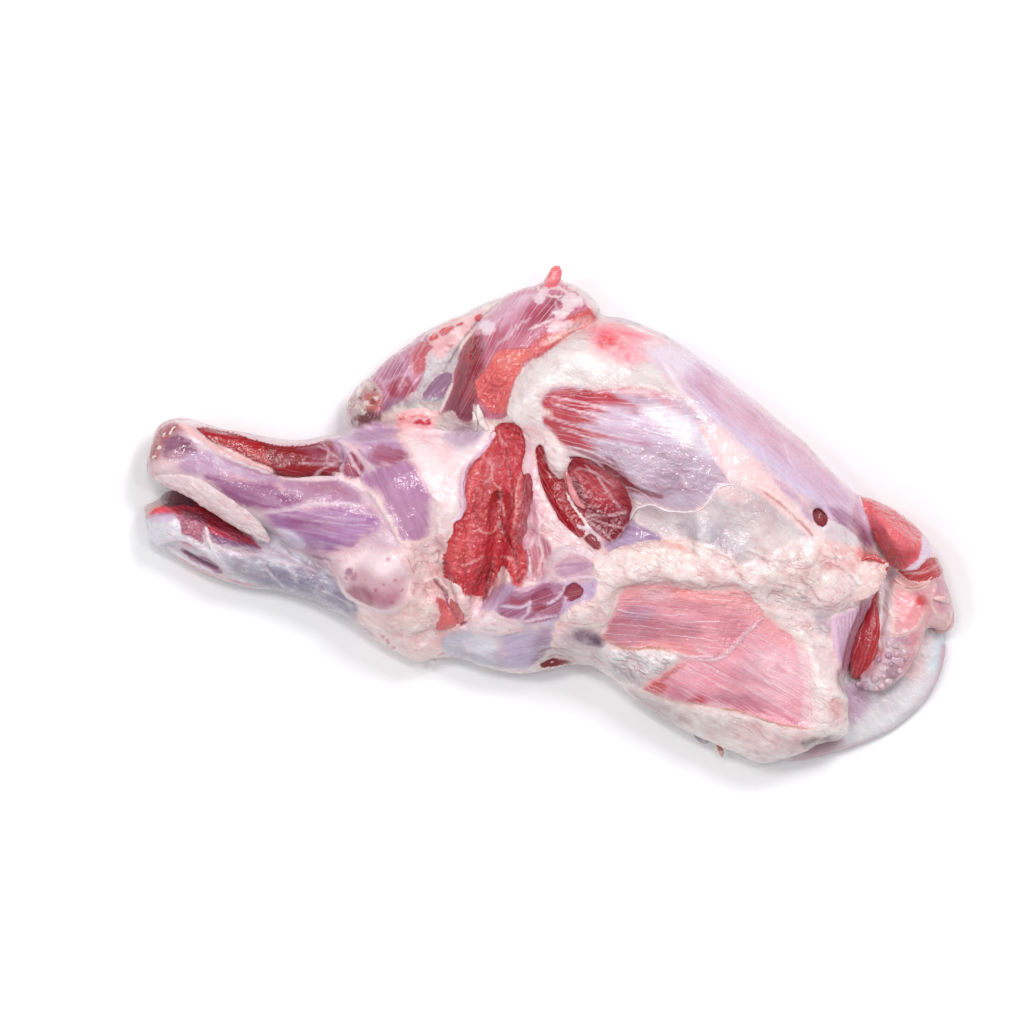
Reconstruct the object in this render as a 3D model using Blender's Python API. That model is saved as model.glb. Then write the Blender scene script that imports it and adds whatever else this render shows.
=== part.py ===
"""Raw lamb shoulder on the bone, with its shank, as it lies on a counter: fat side down, rib side up.

The shank points to -X and the blade to +X. The meat is a stack of soft slabs. Each slab has a plan outline,
a rounded rim and a top formed by ridges that follow the muscles. The slabs are blended into one field, the
clefts between them are cut out, and the surface of the field becomes the mesh.
"""

import math

import bpy
import numpy as np

# Overall size, in millimetres. Plan points are measured from the middle of the whole shoulder.
LENGTH = 404.0
WIDTH = 247.0
THICKNESS = 80.0
MILLIMETRE = 0.001

CELL = 2.3  # grid step of the field
MARGIN = 8.0  # empty grid kept round the meat
BELOW = -4.0  # underside of a slab that lies on the counter, cut off flat at 0
PINCH_FILL = 0.2  # how far inside a filled grid corner lies
FLAT_SNAP = 0.3  # points this near the counter are put on it
MEAT_TRIANGLES = 10400
CARTILAGE_TRIANGLES = 900
GAP = 0.9  # clearance kept between the meat and the cartilage sheet

# Colours, roughness and names of the two tissues that the nodes stand for.
MEAT_COLOUR = (0.72, 0.38, 0.42, 1.0)
MEAT_ROUGHNESS = 0.35
CARTILAGE_COLOUR = (0.86, 0.84, 0.84, 1.0)
CARTILAGE_ROUGHNESS = 0.3

# Each outline runs round one slab in plan, as points of a smooth closed curve.
SHANK_TOP_OUTLINE = [
    (-200.5, 22.5), (-199, 34.5), (-195, 44), (-188.5, 48), (-180.5, 49), (-170.5, 45.5), (-148.5, 40),
    (-123.5, 37.5), (-101, 41), (-73.5, 45), (-57.5, 22.5), (-53.5, -22.5), (-83.5, -40.5), (-118.5, -28.5),
    (-142.5, -16), (-161, 1), (-173.5, 8), (-184.5, 13.5), (-196, 15),
]
SHANK_LOWER_OUTLINE = [
    (-202.5, 4), (-198.5, 9), (-192, 12), (-179.5, 13), (-162.5, 1.5), (-149.5, -10.5), (-123.5, -16.5),
    (-83.5, -37.5), (-58.5, -52.5), (-61.5, -72), (-74.5, -68.5), (-93.5, -56), (-111, -46), (-123.5, -41),
    (-137.5, -37.5), (-153.5, -35), (-171, -29.5), (-186, -21), (-198.5, -13.5), (-200.5, -3.5),
]
SHOULDER_OUTLINE = [
    (-101, 7.5), (-97.5, 41.5), (-73.5, 45), (-48.5, 43.5), (-35.5, 48.5), (-27.5, 67.5), (-13.5, 86.5),
    (5, 97), (26.5, 99.5), (51.5, 93.5), (76.5, 78.5), (101.5, 59.5), (126.5, 37), (151.5, 14), (159.5, 6),
    (163.5, -7.5), (168.5, -23.5), (165.5, -42.5), (157.5, -62.5), (151.5, -82.5), (126.5, -92.5),
    (76.5, -98.5), (46.5, -91), (26.5, -77.5), (14, -75), (2.5, -77), (-9.5, -79.5), (-23.5, -78),
    (-36.5, -74.5), (-48.5, -71.5), (-61, -72.5), (-73.5, -69), (-87.5, -58.5), (-101, -37.5),
]
RIB_LOBE_OUTLINE = [
    (4, -62.5), (7.5, -48.5), (21.5, -41.5), (27.5, -22.5), (51.5, -16.5), (86.5, -22.5), (116.5, -37.5),
    (134, -47.5), (139.5, -62.5), (145.5, -73.5), (151, -84.5), (150.5, -98.5), (149, -110.5),
    (134, -115.5), (121.5, -121), (109, -124), (94, -119), (76.5, -111), (60.5, -102.5), (46.5, -92.5),
    (34.5, -81.5), (22.5, -75), (9, -71.5),
]
FAT_TONGUE_OUTLINE = [
    (71.5, 5), (106.5, 11.5), (132.5, -6.5), (151.5, -15), (165.5, -20.5), (169.5, -25.5), (166.5, -34),
    (157.5, -44.5), (142.5, -51), (121.5, -45.5), (76.5, -32.5),
]
STRIPED_OUTLINE = [
    (126.5, -37.5), (156.5, -27.5), (166.5, -30.5), (165.5, -62.5), (152.5, -84.5), (136.5, -82.5),
]
NECK_UNDER_OUTLINE = [
    (-97.5, 44), (-99.5, 55), (-92.5, 64.5), (-81, 76), (-68.5, 86), (-57.5, 93), (-47.5, 98.5),
    (-33.5, 105), (-21, 108.5), (-3.5, 102.5), (-8.5, 67.5), (-33.5, 41.5), (-63.5, 36.5), (-86, 38.5),
]
NECK_OVER_OUTLINE = [
    (-54.5, 50), (-47.5, 65), (-42.5, 81.5), (-34.5, 95), (-23.5, 107), (-13, 113.5), (-3, 115.5),
    (1, 122.5), (5, 122.5), (7.5, 117), (15, 114), (23, 108.5), (27, 101.5), (14.5, 89), (-0.5, 81.5),
    (-12.5, 66.5), (-18.5, 52.5), (-27.5, 43.5), (-41, 41.5),
]
ROLL_OUTLINE = [
    (157.5, 8), (167.5, 5), (178.5, -1), (188.5, -10.5), (196.5, -21.5), (201, -35), (203, -46.5),
    (203, -53.5), (198.5, -59.5), (192.5, -56.5), (183.5, -52.5), (174.5, -42.5), (168.5, -28.5),
    (161.5, -12.5),
]
JELLY_OUTLINE = [
    (166.5, -29.5), (179, -28.5), (191.5, -40.5), (189.5, -60), (180.5, -78.5), (168.5, -87.5),
    (156.5, -87), (149.5, -82.5), (155.5, -67.5), (162.5, -50),
]
CARTILAGE_OUTLINE = [
    (197.5, -58.5), (199, -72.5), (193.5, -87.5), (184, -98.5), (171.5, -108), (154, -116), (136.5, -121),
    (121.5, -123.5), (110.5, -118.5), (110.5, -92.5), (126.5, -62.5), (151.5, -37.5), (179, -35),
]

# A ridge is a path of (x, y, height, half width), high along its middle and falling away to each side.
SHANK_TOP_RIDGES = [
    [(-197.5, 31.5, 36, 19), (-173.5, 28.5, 39, 20), (-143.5, 16.5, 44, 22), (-108.5, 5, 50, 30),
     (-73.5, -12.5, 56, 40)],
    [(-183.5, 45.5, 34, 9), (-148.5, 39, 38, 9), (-113.5, 35.5, 42, 12), (-78.5, 33.5, 50, 18),
     (-58.5, 17.5, 56, 26)],
    [(-97.5, -32.5, 46, 20), (-82.5, -31.5, 54, 24), (-68.5, -27.5, 56, 26)],
]
SHANK_LOWER_RIDGES = [
    [(-197.5, -2.5, 30, 14), (-173.5, -12.5, 31, 18), (-143.5, -25, 34, 20), (-103.5, -42.5, 36, 24),
     (-63.5, -60, 34, 24)],
]
SHOULDER_RIDGES = [
    [(-83.5, -25, 54, 44), (-58.5, 7.5, 60, 50), (-33.5, -2.5, 63, 60), (6.5, -2.5, 66, 66),
     (26.5, -22.5, 64, 60)],
    [(-63.5, 35, 50, 24), (-38.5, 32.5, 58, 30), (-13.5, 47.5, 65, 34)],
    [(-3.5, 57.5, 66, 32), (26.5, 45, 74, 42), (51.5, 37.5, 79, 46), (86.5, 17.5, 73, 44), (126.5, -12.5, 58, 38),
     (159.5, -23.5, 44, 24)],
    [(6.5, 85, 58, 22), (36.5, 79.5, 64, 26), (66.5, 63.5, 68, 30), (96.5, 41.5, 66, 30), (126.5, 16.5, 56, 28),
     (155.5, -7.5, 43, 24)],
    [(-46, -63.5, 32, 18), (-18.5, -66.5, 38, 22), (6.5, -60, 44, 26), (36.5, -47.5, 52, 40)],
    [(56.5, -22.5, 64, 44), (96.5, -37.5, 60, 60), (141.5, -52.5, 44, 40)],
    [(-71, -62.5, 30, 26), (-58.5, -42.5, 48, 34)],
    [(-18.5, 57.5, 66, 28), (6.5, 73.5, 68, 30), (36.5, 66.5, 70, 26), (61.5, 57.5, 70, 22)],
]
RIB_LOBE_RIDGES = [
    [(14, -56.5, 50, 24), (32.5, -30, 62, 26), (61.5, -20.5, 64, 26), (91.5, -30, 60, 30)],
    [(26.5, -67.5, 42, 34), (66.5, -57.5, 55, 44), (101.5, -62.5, 53, 50), (130.5, -77.5, 46, 42)],
    [(56.5, -95, 34, 24), (91.5, -106.5, 36, 28), (126.5, -105.5, 36, 28), (144.5, -92.5, 40, 22)],
]
FAT_TONGUE_RIDGES = [
    [(76.5, -12.5, 70, 40), (111.5, -22.5, 64, 40), (141.5, -30, 54, 34), (165.5, -27.5, 44, 18)],
]
STRIPED_RIDGES = [[(134, -62.5, 40, 30), (155.5, -52.5, 34, 30), (160.5, -67.5, 27, 24)]]
NECK_UNDER_RIDGES = [
    [(-92.5, 52.5, 34, 18), (-73.5, 66.5, 37, 26), (-48.5, 83.5, 39, 30), (-13.5, 92.5, 44, 40)],
    [(-87.5, 45.5, 38, 16), (-68.5, 48.5, 42, 18), (-48.5, 53.5, 46, 22), (-23.5, 67.5, 48, 30)],
]
NECK_OVER_RIDGES = [
    [(2.5, 119.5, 40, 8), (-3.5, 102.5, 52, 34), (-18.5, 77.5, 58, 34), (-33.5, 50, 56, 28)],
    [(19, 98.5, 56, 16), (-1, 85, 60, 18), (-17.5, 70, 62, 20)],
    [(-38.5, 85, 46, 20), (-46, 57.5, 48, 18)],
]
ROLL_RIDGES = [
    [(160.5, 0, 40, 20), (174, -9, 46, 22), (186.5, -20.5, 42, 20), (194.5, -37.5, 34, 16),
     (197.5, -53.5, 26, 10)],
]
JELLY_RIDGES = [
    [(172.5, -37.5, 30, 20), (179.5, -57.5, 30, 20), (166.5, -78.5, 26, 18), (157.5, -84.5, 22, 12)],
    [(168.5, -35, 28, 10), (166.5, -52.5, 24, 10)],
]
CARTILAGE_RIDGES = [[
    (161.5, -42.5, 12, 60), (171.5, -72.5, 11, 50), (141.5, -102.5, 8, 40), (121.5, -115, 6, 30),
]]

# Each slab is an outline, its ridges, the height of its underside, the level between its ridges, how wide its
# rim is, where up its side it is widest, and how softly it joins the slabs before it.
SLABS = [
    (SHANK_TOP_OUTLINE, SHANK_TOP_RIDGES, 3.0, 26.0, 13.0, 0.5, 1.0),
    (SHANK_LOWER_OUTLINE, SHANK_LOWER_RIDGES, BELOW, 20.0, 13.0, 0.45, 2.5),
    (SHOULDER_OUTLINE, SHOULDER_RIDGES, BELOW, 28.0, 24.0, 0.5, 4.0),
    (RIB_LOBE_OUTLINE, RIB_LOBE_RIDGES, BELOW, 26.0, 11.0, 0.45, 4.0),
    (STRIPED_OUTLINE, STRIPED_RIDGES, 14.0, 24.0, 9.0, 0.45, 3.0),
    (FAT_TONGUE_OUTLINE, FAT_TONGUE_RIDGES, 30.0, 38.0, 9.0, 0.3, 2.5),
    (NECK_UNDER_OUTLINE, NECK_UNDER_RIDGES, 4.0, 24.0, 13.0, 0.45, 3.0),
    (NECK_OVER_OUTLINE, NECK_OVER_RIDGES, 24.0, 40.0, 9.0, 0.3, 2.5),
    (JELLY_OUTLINE, JELLY_RIDGES, 12.5, 18.0, 10.0, 0.45, 3.0),
    (ROLL_OUTLINE, ROLL_RIDGES, 6.0, 14.0, 13.0, 0.45, 3.0),
]
CARTILAGE_SLAB = (CARTILAGE_OUTLINE, CARTILAGE_RIDGES, -2.0, 3.5, 4.0, 0.5, 1.0)

# The underside of the meat lifts to clear the cartilage sheet between these two places along X.
LIFT_START, LIFT_END, LIFT_HEIGHT = 90.0, 140.0, 17.0

# Uneven lumps over the whole meat: height, size, seed.
LUMPS = [(0.7, 26.0, 4), (0.35, 11.0, 9)]
LUMP_WAVES = 7
LUMP_SCALE = 4.0  # divides the summed waves so that they stay near 1

# A relief raises or sinks the upper face inside an outline: its rise, the width of its shoulder, its outline.
CUT_FACE_RELIEF = (-4.5, 5.0, [
    (-25, 45.5), (-14, 44), (-10.5, 32.5), (-12, 18.5), (-8.5, 7.5), (-6.5, -7.5), (0, -16.5),
    (-0.5, -29.5), (-11.5, -37.5), (-19.5, -30.5), (-29.5, -40.5), (-38.5, -44.5), (-50.5, -38.5),
    (-53.5, -26.5), (-49.5, -7.5), (-43, 4.5), (-42, 20.5), (-34.5, 30), (-29.5, 39.5),
])
ARMPIT_RELIEF = (-8.0, 5.0, [
    (-5, 34.5), (0.5, 26.5), (7.5, 20.5), (12.5, 27.5), (21.5, 25), (33.5, 17.5), (40.5, 9), (42, -0.5),
    (36.5, -10.5), (26.5, -15.5), (16.5, -9.5), (6.5, 0.5), (-0.5, 14.5),
])
LEAN_WINDOW_RELIEF = (-2.6, 3.5, [
    (21.5, -56.5), (32.5, -51.5), (34.5, -38.5), (51.5, -33.5), (76.5, -36.5), (98.5, -36.5),
    (108.5, -48.5), (124, -58.5), (131.5, -72.5), (133, -103.5), (111.5, -101.5), (86.5, -96.5),
    (62.5, -95), (47.5, -85.5), (64.5, -73.5), (51.5, -67.5), (35.5, -66.5),
])
ELBOW_RELIEF = (3.0, 8.0, [
    (-103.5, -30.5), (-92.5, -23.5), (-77.5, -17.5), (-69, -25.5), (-69.5, -41.5), (-78.5, -47),
    (-91.5, -44.5),
])
FAT_RIDGE_RELIEF = (3.0, 5.0, [
    (24.5, -25.5), (37.5, -17.5), (60.5, -13.5), (82.5, -23.5), (97.5, -34.5), (76.5, -35.5), (51.5, -32.5),
    (34.5, -36.5), (26.5, -48.5), (9.5, -53.5), (11.5, -45.5), (22.5, -39.5),
])
JOINT_HOLLOW_RELIEF = (-2.5, 5.0, [(-61.5, -15), (-50.5, -18.5), (-51.5, -32.5), (-58.5, -42.5), (-64.5, -32.5)])
FLEXOR_RELIEF = (2.0, 7.0, [
    (-169.5, 15.5), (-143.5, 17.5), (-113.5, 15.5), (-92.5, 7.5), (-84.5, -6.5), (-103.5, -15),
    (-128.5, -12.5), (-148.5, -2.5),
])
BICEPS_RELIEF = (2.0, 8.0, [
    (-101, 42.5), (-79.5, 43.5), (-67.5, 32.5), (-58.5, 15), (-56.5, -2.5), (-67.5, -10.5), (-75.5, 2.5),
    (-87.5, 16.5), (-100.5, 18.5),
])
RELIEF_HEIGHT = 25.0  # height above the counter at which a relief reaches its full rise
RELIEFS = [
    CUT_FACE_RELIEF, ARMPIT_RELIEF, LEAN_WINDOW_RELIEF, ELBOW_RELIEF, FAT_RIDGE_RELIEF, JOINT_HOLLOW_RELIEF,
    FLEXOR_RELIEF, BICEPS_RELIEF,
]

# A cleft is cut along a path of (x, y, height of its floor, half width).
MOUTH = [
    (-206.5, 12.5, -6, 2.6), (-195.5, 12.5, -6, 2.4), (-188.5, 11, 12, 2.6), (-176, 7, 12, 3.2),
    (-162.5, -0.5, 16, 2.8), (-150.5, -10, 28, 2.2),
]
SHANK_GROOVE = [
    (-171, 40.5, 32, 3.5), (-153.5, 33.5, 31, 6.5), (-131, 28.5, 35, 7.0), (-108.5, 27.5, 41, 5.5),
]
CUT_FACE_CRACK = [(-23.5, 7.5, 50, 2.0), (-24.5, -12.5, 51, 2.2), (-27.5, -30, 45, 2.8), (-34.5, -45.5, 41, 2.8),
                  (-40.5, -53.5, 38, 2.2)]
ELBOW_CRACK = [(-56.5, -32.5, 48, 2.2), (-51, -41, 44, 2.6), (-47.5, -51, 42, 2.6), (-42.5, -55.5, 40, 2.0)]
BLADE_EDGE = [(14.5, 27.5, 64, 1.4), (26.5, 21.5, 64, 1.6), (37.5, 16, 65, 1.4)]
BLADE_SEAM = [
    (146.5, -8.5, 49, 0.8), (154.5, -11.5, 43, 1.2), (162.5, -16, 37, 1.8), (168.5, -22.5, 32, 2.6),
]
BLADE_HOLE = [(136, 1.5, 47, 1.4), (137.5, -1.5, 47, 1.4)]
ROLL_SEAM = [(156.5, 8.5, 30, 1.8), (161, -6.5, 30, 2.2), (168.5, -25.5, 20, 3.0)]
CREVICE = [(168, -26.5, 20, 2.6), (164.5, -47.5, 18, 4.5), (159.5, -65, 15, 6.0), (152.5, -82.5, 14, 3.0)]
NECK_STEP = [(-98.5, 42, 32, 1.0), (-78.5, 44, 36, 1.0), (-55.5, 46.5, 42, 1.2), (-38.5, 42.5, 50, 1.0)]
UNDERCUT = [(-3.5, -73, 24, 0.8), (4.5, -72, 22, 1.6), (12.5, -73, 24, 0.8)]
CLEFTS = [
    MOUTH, SHANK_GROOVE, CUT_FACE_CRACK, ELBOW_CRACK, BLADE_EDGE, BLADE_SEAM, BLADE_HOLE, ROLL_SEAM, CREVICE,
    NECK_STEP, UNDERCUT,
]
CLEFT_FLARE = 0.35  # how much wider a cleft gets for each millimetre above its floor
FLARE_HEIGHT = 12.0  # height above the floor at which it stops widening
CLEFT_BLEND = 1.5  # rounding of the lips of a cleft

SPAN_STEPS = 6  # points worked out along each span of an outline or a path


def smooth_curve(stations, closed=False):
    """Points of a Catmull-Rom curve through the stations, with any heights and widths they carry."""
    points = np.array(stations, float)
    if closed:
        points = np.vstack([points[-1:], points, points[:2]])
    else:
        points = np.vstack([2 * points[0] - points[1], points, 2 * points[-1] - points[-2]])
    t = (np.arange(SPAN_STEPS) / SPAN_STEPS)[:, None]
    curve = []
    for a, b, c, d in zip(points, points[1:], points[2:], points[3:]):
        bend = (2 * a - 5 * b + 4 * c - d) * t**2
        twist = (3 * b - a - 3 * c + d) * t**3
        curve.append((2 * b + (c - a) * t + bend + twist) / 2)
    if not closed:
        curve.append(points[-2:-1])
    return np.vstack(curve)


def outline_distance(outline, x, y):
    """Distance in plan to a closed outline, negative inside it."""
    curve = smooth_curve(outline, closed=True)
    nearest = np.full(x.shape, np.inf)
    inside = np.zeros(x.shape, bool)
    for (x0, y0), (x1, y1) in zip(curve, np.roll(curve, -1, axis=0)):
        dx, dy = x1 - x0, y1 - y0
        t = np.clip(((x - x0) * dx + (y - y0) * dy) / max(dx * dx + dy * dy, 1e-9), 0, 1)
        nearest = np.minimum(nearest, np.hypot(x - x0 - t * dx, y - y0 - t * dy))
        if y0 != y1:
            inside ^= ((y0 > y) != (y1 > y)) & (x < x0 + (y - y0) * dx / dy)
    return np.where(inside, -nearest, nearest)


def along_path(path, x, y):
    """Distance in plan to an open path, and the height and half width of the path at its nearest point."""
    curve = smooth_curve(path)
    nearest = np.full(x.shape, np.inf)
    height, half_width = np.zeros(x.shape), np.ones(x.shape)
    for a, b in zip(curve, curve[1:]):
        dx, dy = b[0] - a[0], b[1] - a[1]
        t = np.clip(((x - a[0]) * dx + (y - a[1]) * dy) / max(dx * dx + dy * dy, 1e-9), 0, 1)
        distance = np.hypot(x - a[0] - t * dx, y - a[1] - t * dy)
        closer = distance < nearest
        nearest = np.where(closer, distance, nearest)
        height = np.where(closer, a[2] + t * (b[2] - a[2]), height)
        half_width = np.where(closer, a[3] + t * (b[3] - a[3]), half_width)
    return nearest, height, half_width


def smooth_max(a, b, blend):
    mix = np.clip(0.5 + 0.5 * (a - b) / blend, 0, 1)
    return b + (a - b) * mix + blend * mix * (1 - mix)


def smooth_min(a, b, blend):
    return -smooth_max(-a, -b, blend)


def ridge_top(ridges, floor, x, y, blend=7.0):
    """Height of a slab's upper face: the highest of its ridges, over a level floor."""
    top = np.full(x.shape, floor)
    for path in ridges:
        distance, height, half_width = along_path(path, x, y)
        fall = np.sqrt(np.clip(1 - (distance / half_width) ** 2, 0, 1))
        top = smooth_max(top, floor + (height - floor) * fall, blend)
    return top


def relief(x, y):
    """How far the named swells and hollows lift the upper face."""
    total = np.zeros(x.shape)
    for rise, shoulder, outline in RELIEFS:
        share = np.clip(0.5 - outline_distance(outline, x, y) / shoulder, 0, 1)
        total += rise * share * share * (3 - 2 * share)
    return total


def lumps(x, y, z, size, seed):
    """Soft uneven lumps about size millimetres across, between -1 and 1, from a few crossed waves."""
    rng = np.random.default_rng(seed)
    total = np.zeros(np.broadcast(x, y, z).shape)
    for _ in range(LUMP_WAVES):
        direction = rng.normal(size=3)
        direction *= 2 * math.pi / (size * rng.uniform(0.8, 1.7) * np.linalg.norm(direction))
        total += np.sin(direction[0] * x + direction[1] * y + direction[2] * z + rng.uniform(0, 2 * math.pi))
    return total / LUMP_SCALE


def grid():
    half = np.array([LENGTH / 2 + MARGIN, WIDTH / 2 + MARGIN])
    x = np.arange(-half[0], half[0] + CELL, CELL)
    y = np.arange(-half[1], half[1] + CELL, CELL)
    z = np.arange(-2 * CELL, THICKNESS + MARGIN, CELL)
    return np.meshgrid(x, y, z, indexing="ij", sparse=True)


def plan(x, y):
    """The grid's places seen from above, as two level arrays."""
    return np.broadcast_arrays(x[:, :, 0], y[:, :, 0])


def slab(outline, ridges, base, floor, rim, waist, x, y, z):
    """The field of one slab, negative inside."""
    edge = outline_distance(outline, *plan(x, y))[:, :, None]
    top = ridge_top(ridges, floor, *plan(x, y))[:, :, None]
    middle = base + (top - base) * waist
    up = (z - middle) / np.maximum(top - middle, 1.0)
    down = (middle - z) / np.maximum(middle - base, 1.0)
    rise = np.maximum(up, down)
    reach = np.maximum(1 + edge / rim, 0)
    return (np.hypot(rise, reach) - 1) * np.minimum((top - base) / 2, rim)


def cleft(path, x, y, z):
    """The field of a cutter that opens upwards from the floor of a cleft."""
    distance, height, half_width = (a[:, :, None] for a in along_path(path, *plan(x, y)))
    above = z - height
    side = distance - half_width - CLEFT_FLARE * np.clip(above, 0, FLARE_HEIGHT)
    return np.hypot(np.maximum(side, 0), np.maximum(-above, 0)) + np.minimum(np.maximum(side, -above), 0)


def cartilage_field(x, y, z):
    return slab(*CARTILAGE_SLAB[:-1], x, y, z)


def meat_field(x, y, z):
    """All slabs of meat and fat blended together, less the clefts and the room for the cartilage sheet."""
    lifted = z - relief(*plan(x, y))[:, :, None] * np.clip(z / RELIEF_HEIGHT, 0, 1)
    lift_share = np.clip((x - LIFT_START) / (LIFT_END - LIFT_START), 0, 1)
    lift = LIFT_HEIGHT * lift_share * lift_share * (3 - 2 * lift_share)
    body = np.full(np.broadcast(x, y, z).shape, MARGIN)
    for outline, ridges, low, floor, rim, waist, blend in SLABS:
        base = low + lift if low == BELOW else low
        body = smooth_min(body, slab(outline, ridges, base, floor, rim, waist, x, y, lifted), blend)
    for height, size, seed in LUMPS:
        body = body + height * lumps(x, y, z, size, seed)
    for path in CLEFTS:
        body = smooth_max(body, -cleft(path, x, y, z), CLEFT_BLEND)
    body = np.maximum(body, GAP - cartilage_field(x, y, z))
    return np.maximum(body, -z)


def without_pinches(field):
    """Fills each grid square whose inside corners meet only across it, so that no edge is shared twice."""
    field = field.copy()
    filled = True
    while filled:
        filled = False
        inside = field < 0
        for axes in ((0, 1), (0, 2), (1, 2)):
            corners = []
            for shift in ((0, 0), (1, 0), (0, 1), (1, 1)):
                spans = [slice(None)] * 3
                for axis, step in zip(axes, shift):
                    spans[axis] = slice(1, None) if step else slice(0, -1)
                corners.append(tuple(spans))
            a, b, c, d = (inside[corner] for corner in corners)
            pinched = (a == d) & (b == c) & (a != b)
            if pinched.any():
                filled = True
                for corner in corners:
                    part = field[corner]
                    part[pinched] = np.minimum(part[pinched], -PINCH_FILL)
    return field


def surface_net(field, x, y, z):
    """Points and four-sided faces of the field's zero surface, one point in each grid cell that it crosses."""
    field = without_pinches(field)
    inside = field < 0
    cells = tuple(n - 1 for n in field.shape)
    total, count = np.zeros(cells + (3,)), np.zeros(cells)
    crossings = []
    for axis in range(3):
        others = [a for a in range(3) if a != axis]
        first = tuple(slice(0, -1) if a == axis else slice(None) for a in range(3))
        second = tuple(slice(1, None) if a == axis else slice(None) for a in range(3))
        edges = np.argwhere(inside[first] != inside[second])
        ahead = edges.copy()
        ahead[:, axis] += 1
        start, end = field[tuple(edges.T)], field[tuple(ahead.T)]
        share = start / (start - end)
        corners = []
        for step_a, step_b in ((0, 0), (1, 0), (1, 1), (0, 1)):
            cell = edges.copy()
            cell[:, others[0]] -= step_a
            cell[:, others[1]] -= step_b
            place = np.zeros((len(edges), 3))
            place[:, axis] = share
            place[:, others[0]] = step_a
            place[:, others[1]] = step_b
            np.add.at(total, tuple(cell.T), place)
            np.add.at(count, tuple(cell.T), 1)
            corners.append(cell)
        flip = (start < 0) != (axis == 1)
        crossings.append((corners, flip))
    used = count > 0
    number = np.full(cells, -1)
    number[used] = np.arange(used.sum())
    where = np.argwhere(used) + total[used] / count[used][:, None]
    low = np.array([x.flat[0], y.flat[0], z.flat[0]])
    faces = []
    for corners, flip in crossings:
        quad = np.stack([number[tuple(cell.T)] for cell in corners], axis=1)
        faces.append(np.where(flip[:, None], quad, quad[:, ::-1]))
    return low + where * CELL, np.vstack(faces)


def object_from(name, points, faces, colour, roughness):
    """One named mesh object in metres, with its material and smooth shading."""
    mesh = bpy.data.meshes.new(name)
    mesh.from_pydata((points * MILLIMETRE).tolist(), [], faces.tolist())
    mesh.validate()
    mesh.shade_smooth()
    obj = bpy.data.objects.new(name, mesh)
    bpy.context.scene.collection.objects.link(obj)
    material = bpy.data.materials.new(name)
    material.use_nodes = True
    shader = material.node_tree.nodes["Principled BSDF"]
    shader.inputs["Base Color"].default_value = colour
    shader.inputs["Roughness"].default_value = roughness
    shader.inputs["Metallic"].default_value = 0.0
    mesh.materials.append(material)
    return obj


def slimmed(obj, triangles):
    """Smooths out the grid's steps, thins the mesh to about that many triangles and beds it on the counter."""
    smooth = obj.modifiers.new("soften", "SMOOTH")
    smooth.factor = 0.5
    smooth.iterations = 2
    obj.data.calc_loop_triangles()
    thin = obj.modifiers.new("thin", "DECIMATE")
    thin.ratio = min(1.0, triangles / len(obj.data.loop_triangles))
    thin.use_collapse_triangulate = True
    done = bpy.data.meshes.new_from_object(obj.evaluated_get(bpy.context.evaluated_depsgraph_get()))
    obj.modifiers.clear()
    obj.data = done
    done.shade_smooth()
    for vertex in done.vertices:
        if vertex.co.z < FLAT_SNAP * MILLIMETRE:
            vertex.co.z = 0.0
    return obj


def centred(objects):
    """Moves the whole shoulder so that its box stands on the origin."""
    points = np.vstack([[v.co for v in obj.data.vertices] for obj in objects])
    middle = (points.min(0) + points.max(0)) / 2
    for obj in objects:
        for vertex in obj.data.vertices:
            vertex.co.x -= middle[0]
            vertex.co.y -= middle[1]


def main():
    for old in list(bpy.data.objects):
        bpy.data.objects.remove(old)
    x, y, z = grid()
    meat = object_from(
        "shoulder_meat", *surface_net(meat_field(x, y, z), x, y, z), MEAT_COLOUR, MEAT_ROUGHNESS
    )
    cartilage_body = np.maximum(cartilage_field(x, y, z), -z)
    cartilage = object_from(
        "blade_cartilage", *surface_net(cartilage_body, x, y, z), CARTILAGE_COLOUR, CARTILAGE_ROUGHNESS
    )
    bpy.context.view_layer.update()
    slimmed(meat, MEAT_TRIANGLES)
    slimmed(cartilage, CARTILAGE_TRIANGLES)
    centred([meat, cartilage])


main()
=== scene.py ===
"""Looks of the raw lamb shoulder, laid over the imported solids.

The meat is a fine copy of its solid. Its tissues are painted from patches in plan: each has an outline, a
colour and the run of its fibres, and a later patch lies over the earlier ones. The patches also raise or
sink the surface, and the shader adds the fine grain. Plan points and sizes are in millimetres. Painted
colours are given as they look on a screen, from 0 to 255.
"""

import itertools
import math

import bpy
import numpy as np
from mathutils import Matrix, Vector


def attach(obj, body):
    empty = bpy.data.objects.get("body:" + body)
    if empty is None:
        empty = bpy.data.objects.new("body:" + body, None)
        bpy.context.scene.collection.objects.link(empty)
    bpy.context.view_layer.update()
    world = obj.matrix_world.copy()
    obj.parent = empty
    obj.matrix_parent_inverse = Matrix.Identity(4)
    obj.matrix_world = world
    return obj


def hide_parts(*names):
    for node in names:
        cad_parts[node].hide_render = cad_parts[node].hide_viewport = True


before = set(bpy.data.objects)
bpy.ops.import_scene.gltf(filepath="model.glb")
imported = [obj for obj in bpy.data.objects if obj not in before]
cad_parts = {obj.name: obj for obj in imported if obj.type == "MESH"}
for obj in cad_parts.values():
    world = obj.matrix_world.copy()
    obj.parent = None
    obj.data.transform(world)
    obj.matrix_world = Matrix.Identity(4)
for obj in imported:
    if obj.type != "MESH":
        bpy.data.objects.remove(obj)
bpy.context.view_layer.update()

MILLIMETRE = 0.001

# The camera, in metres
VIEW_WIDTH = 0.512  # width of the picture at the object
VIEW_CENTRE = (-0.01845, 0.00206)
CAMERA_HEIGHT = 1.2

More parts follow.
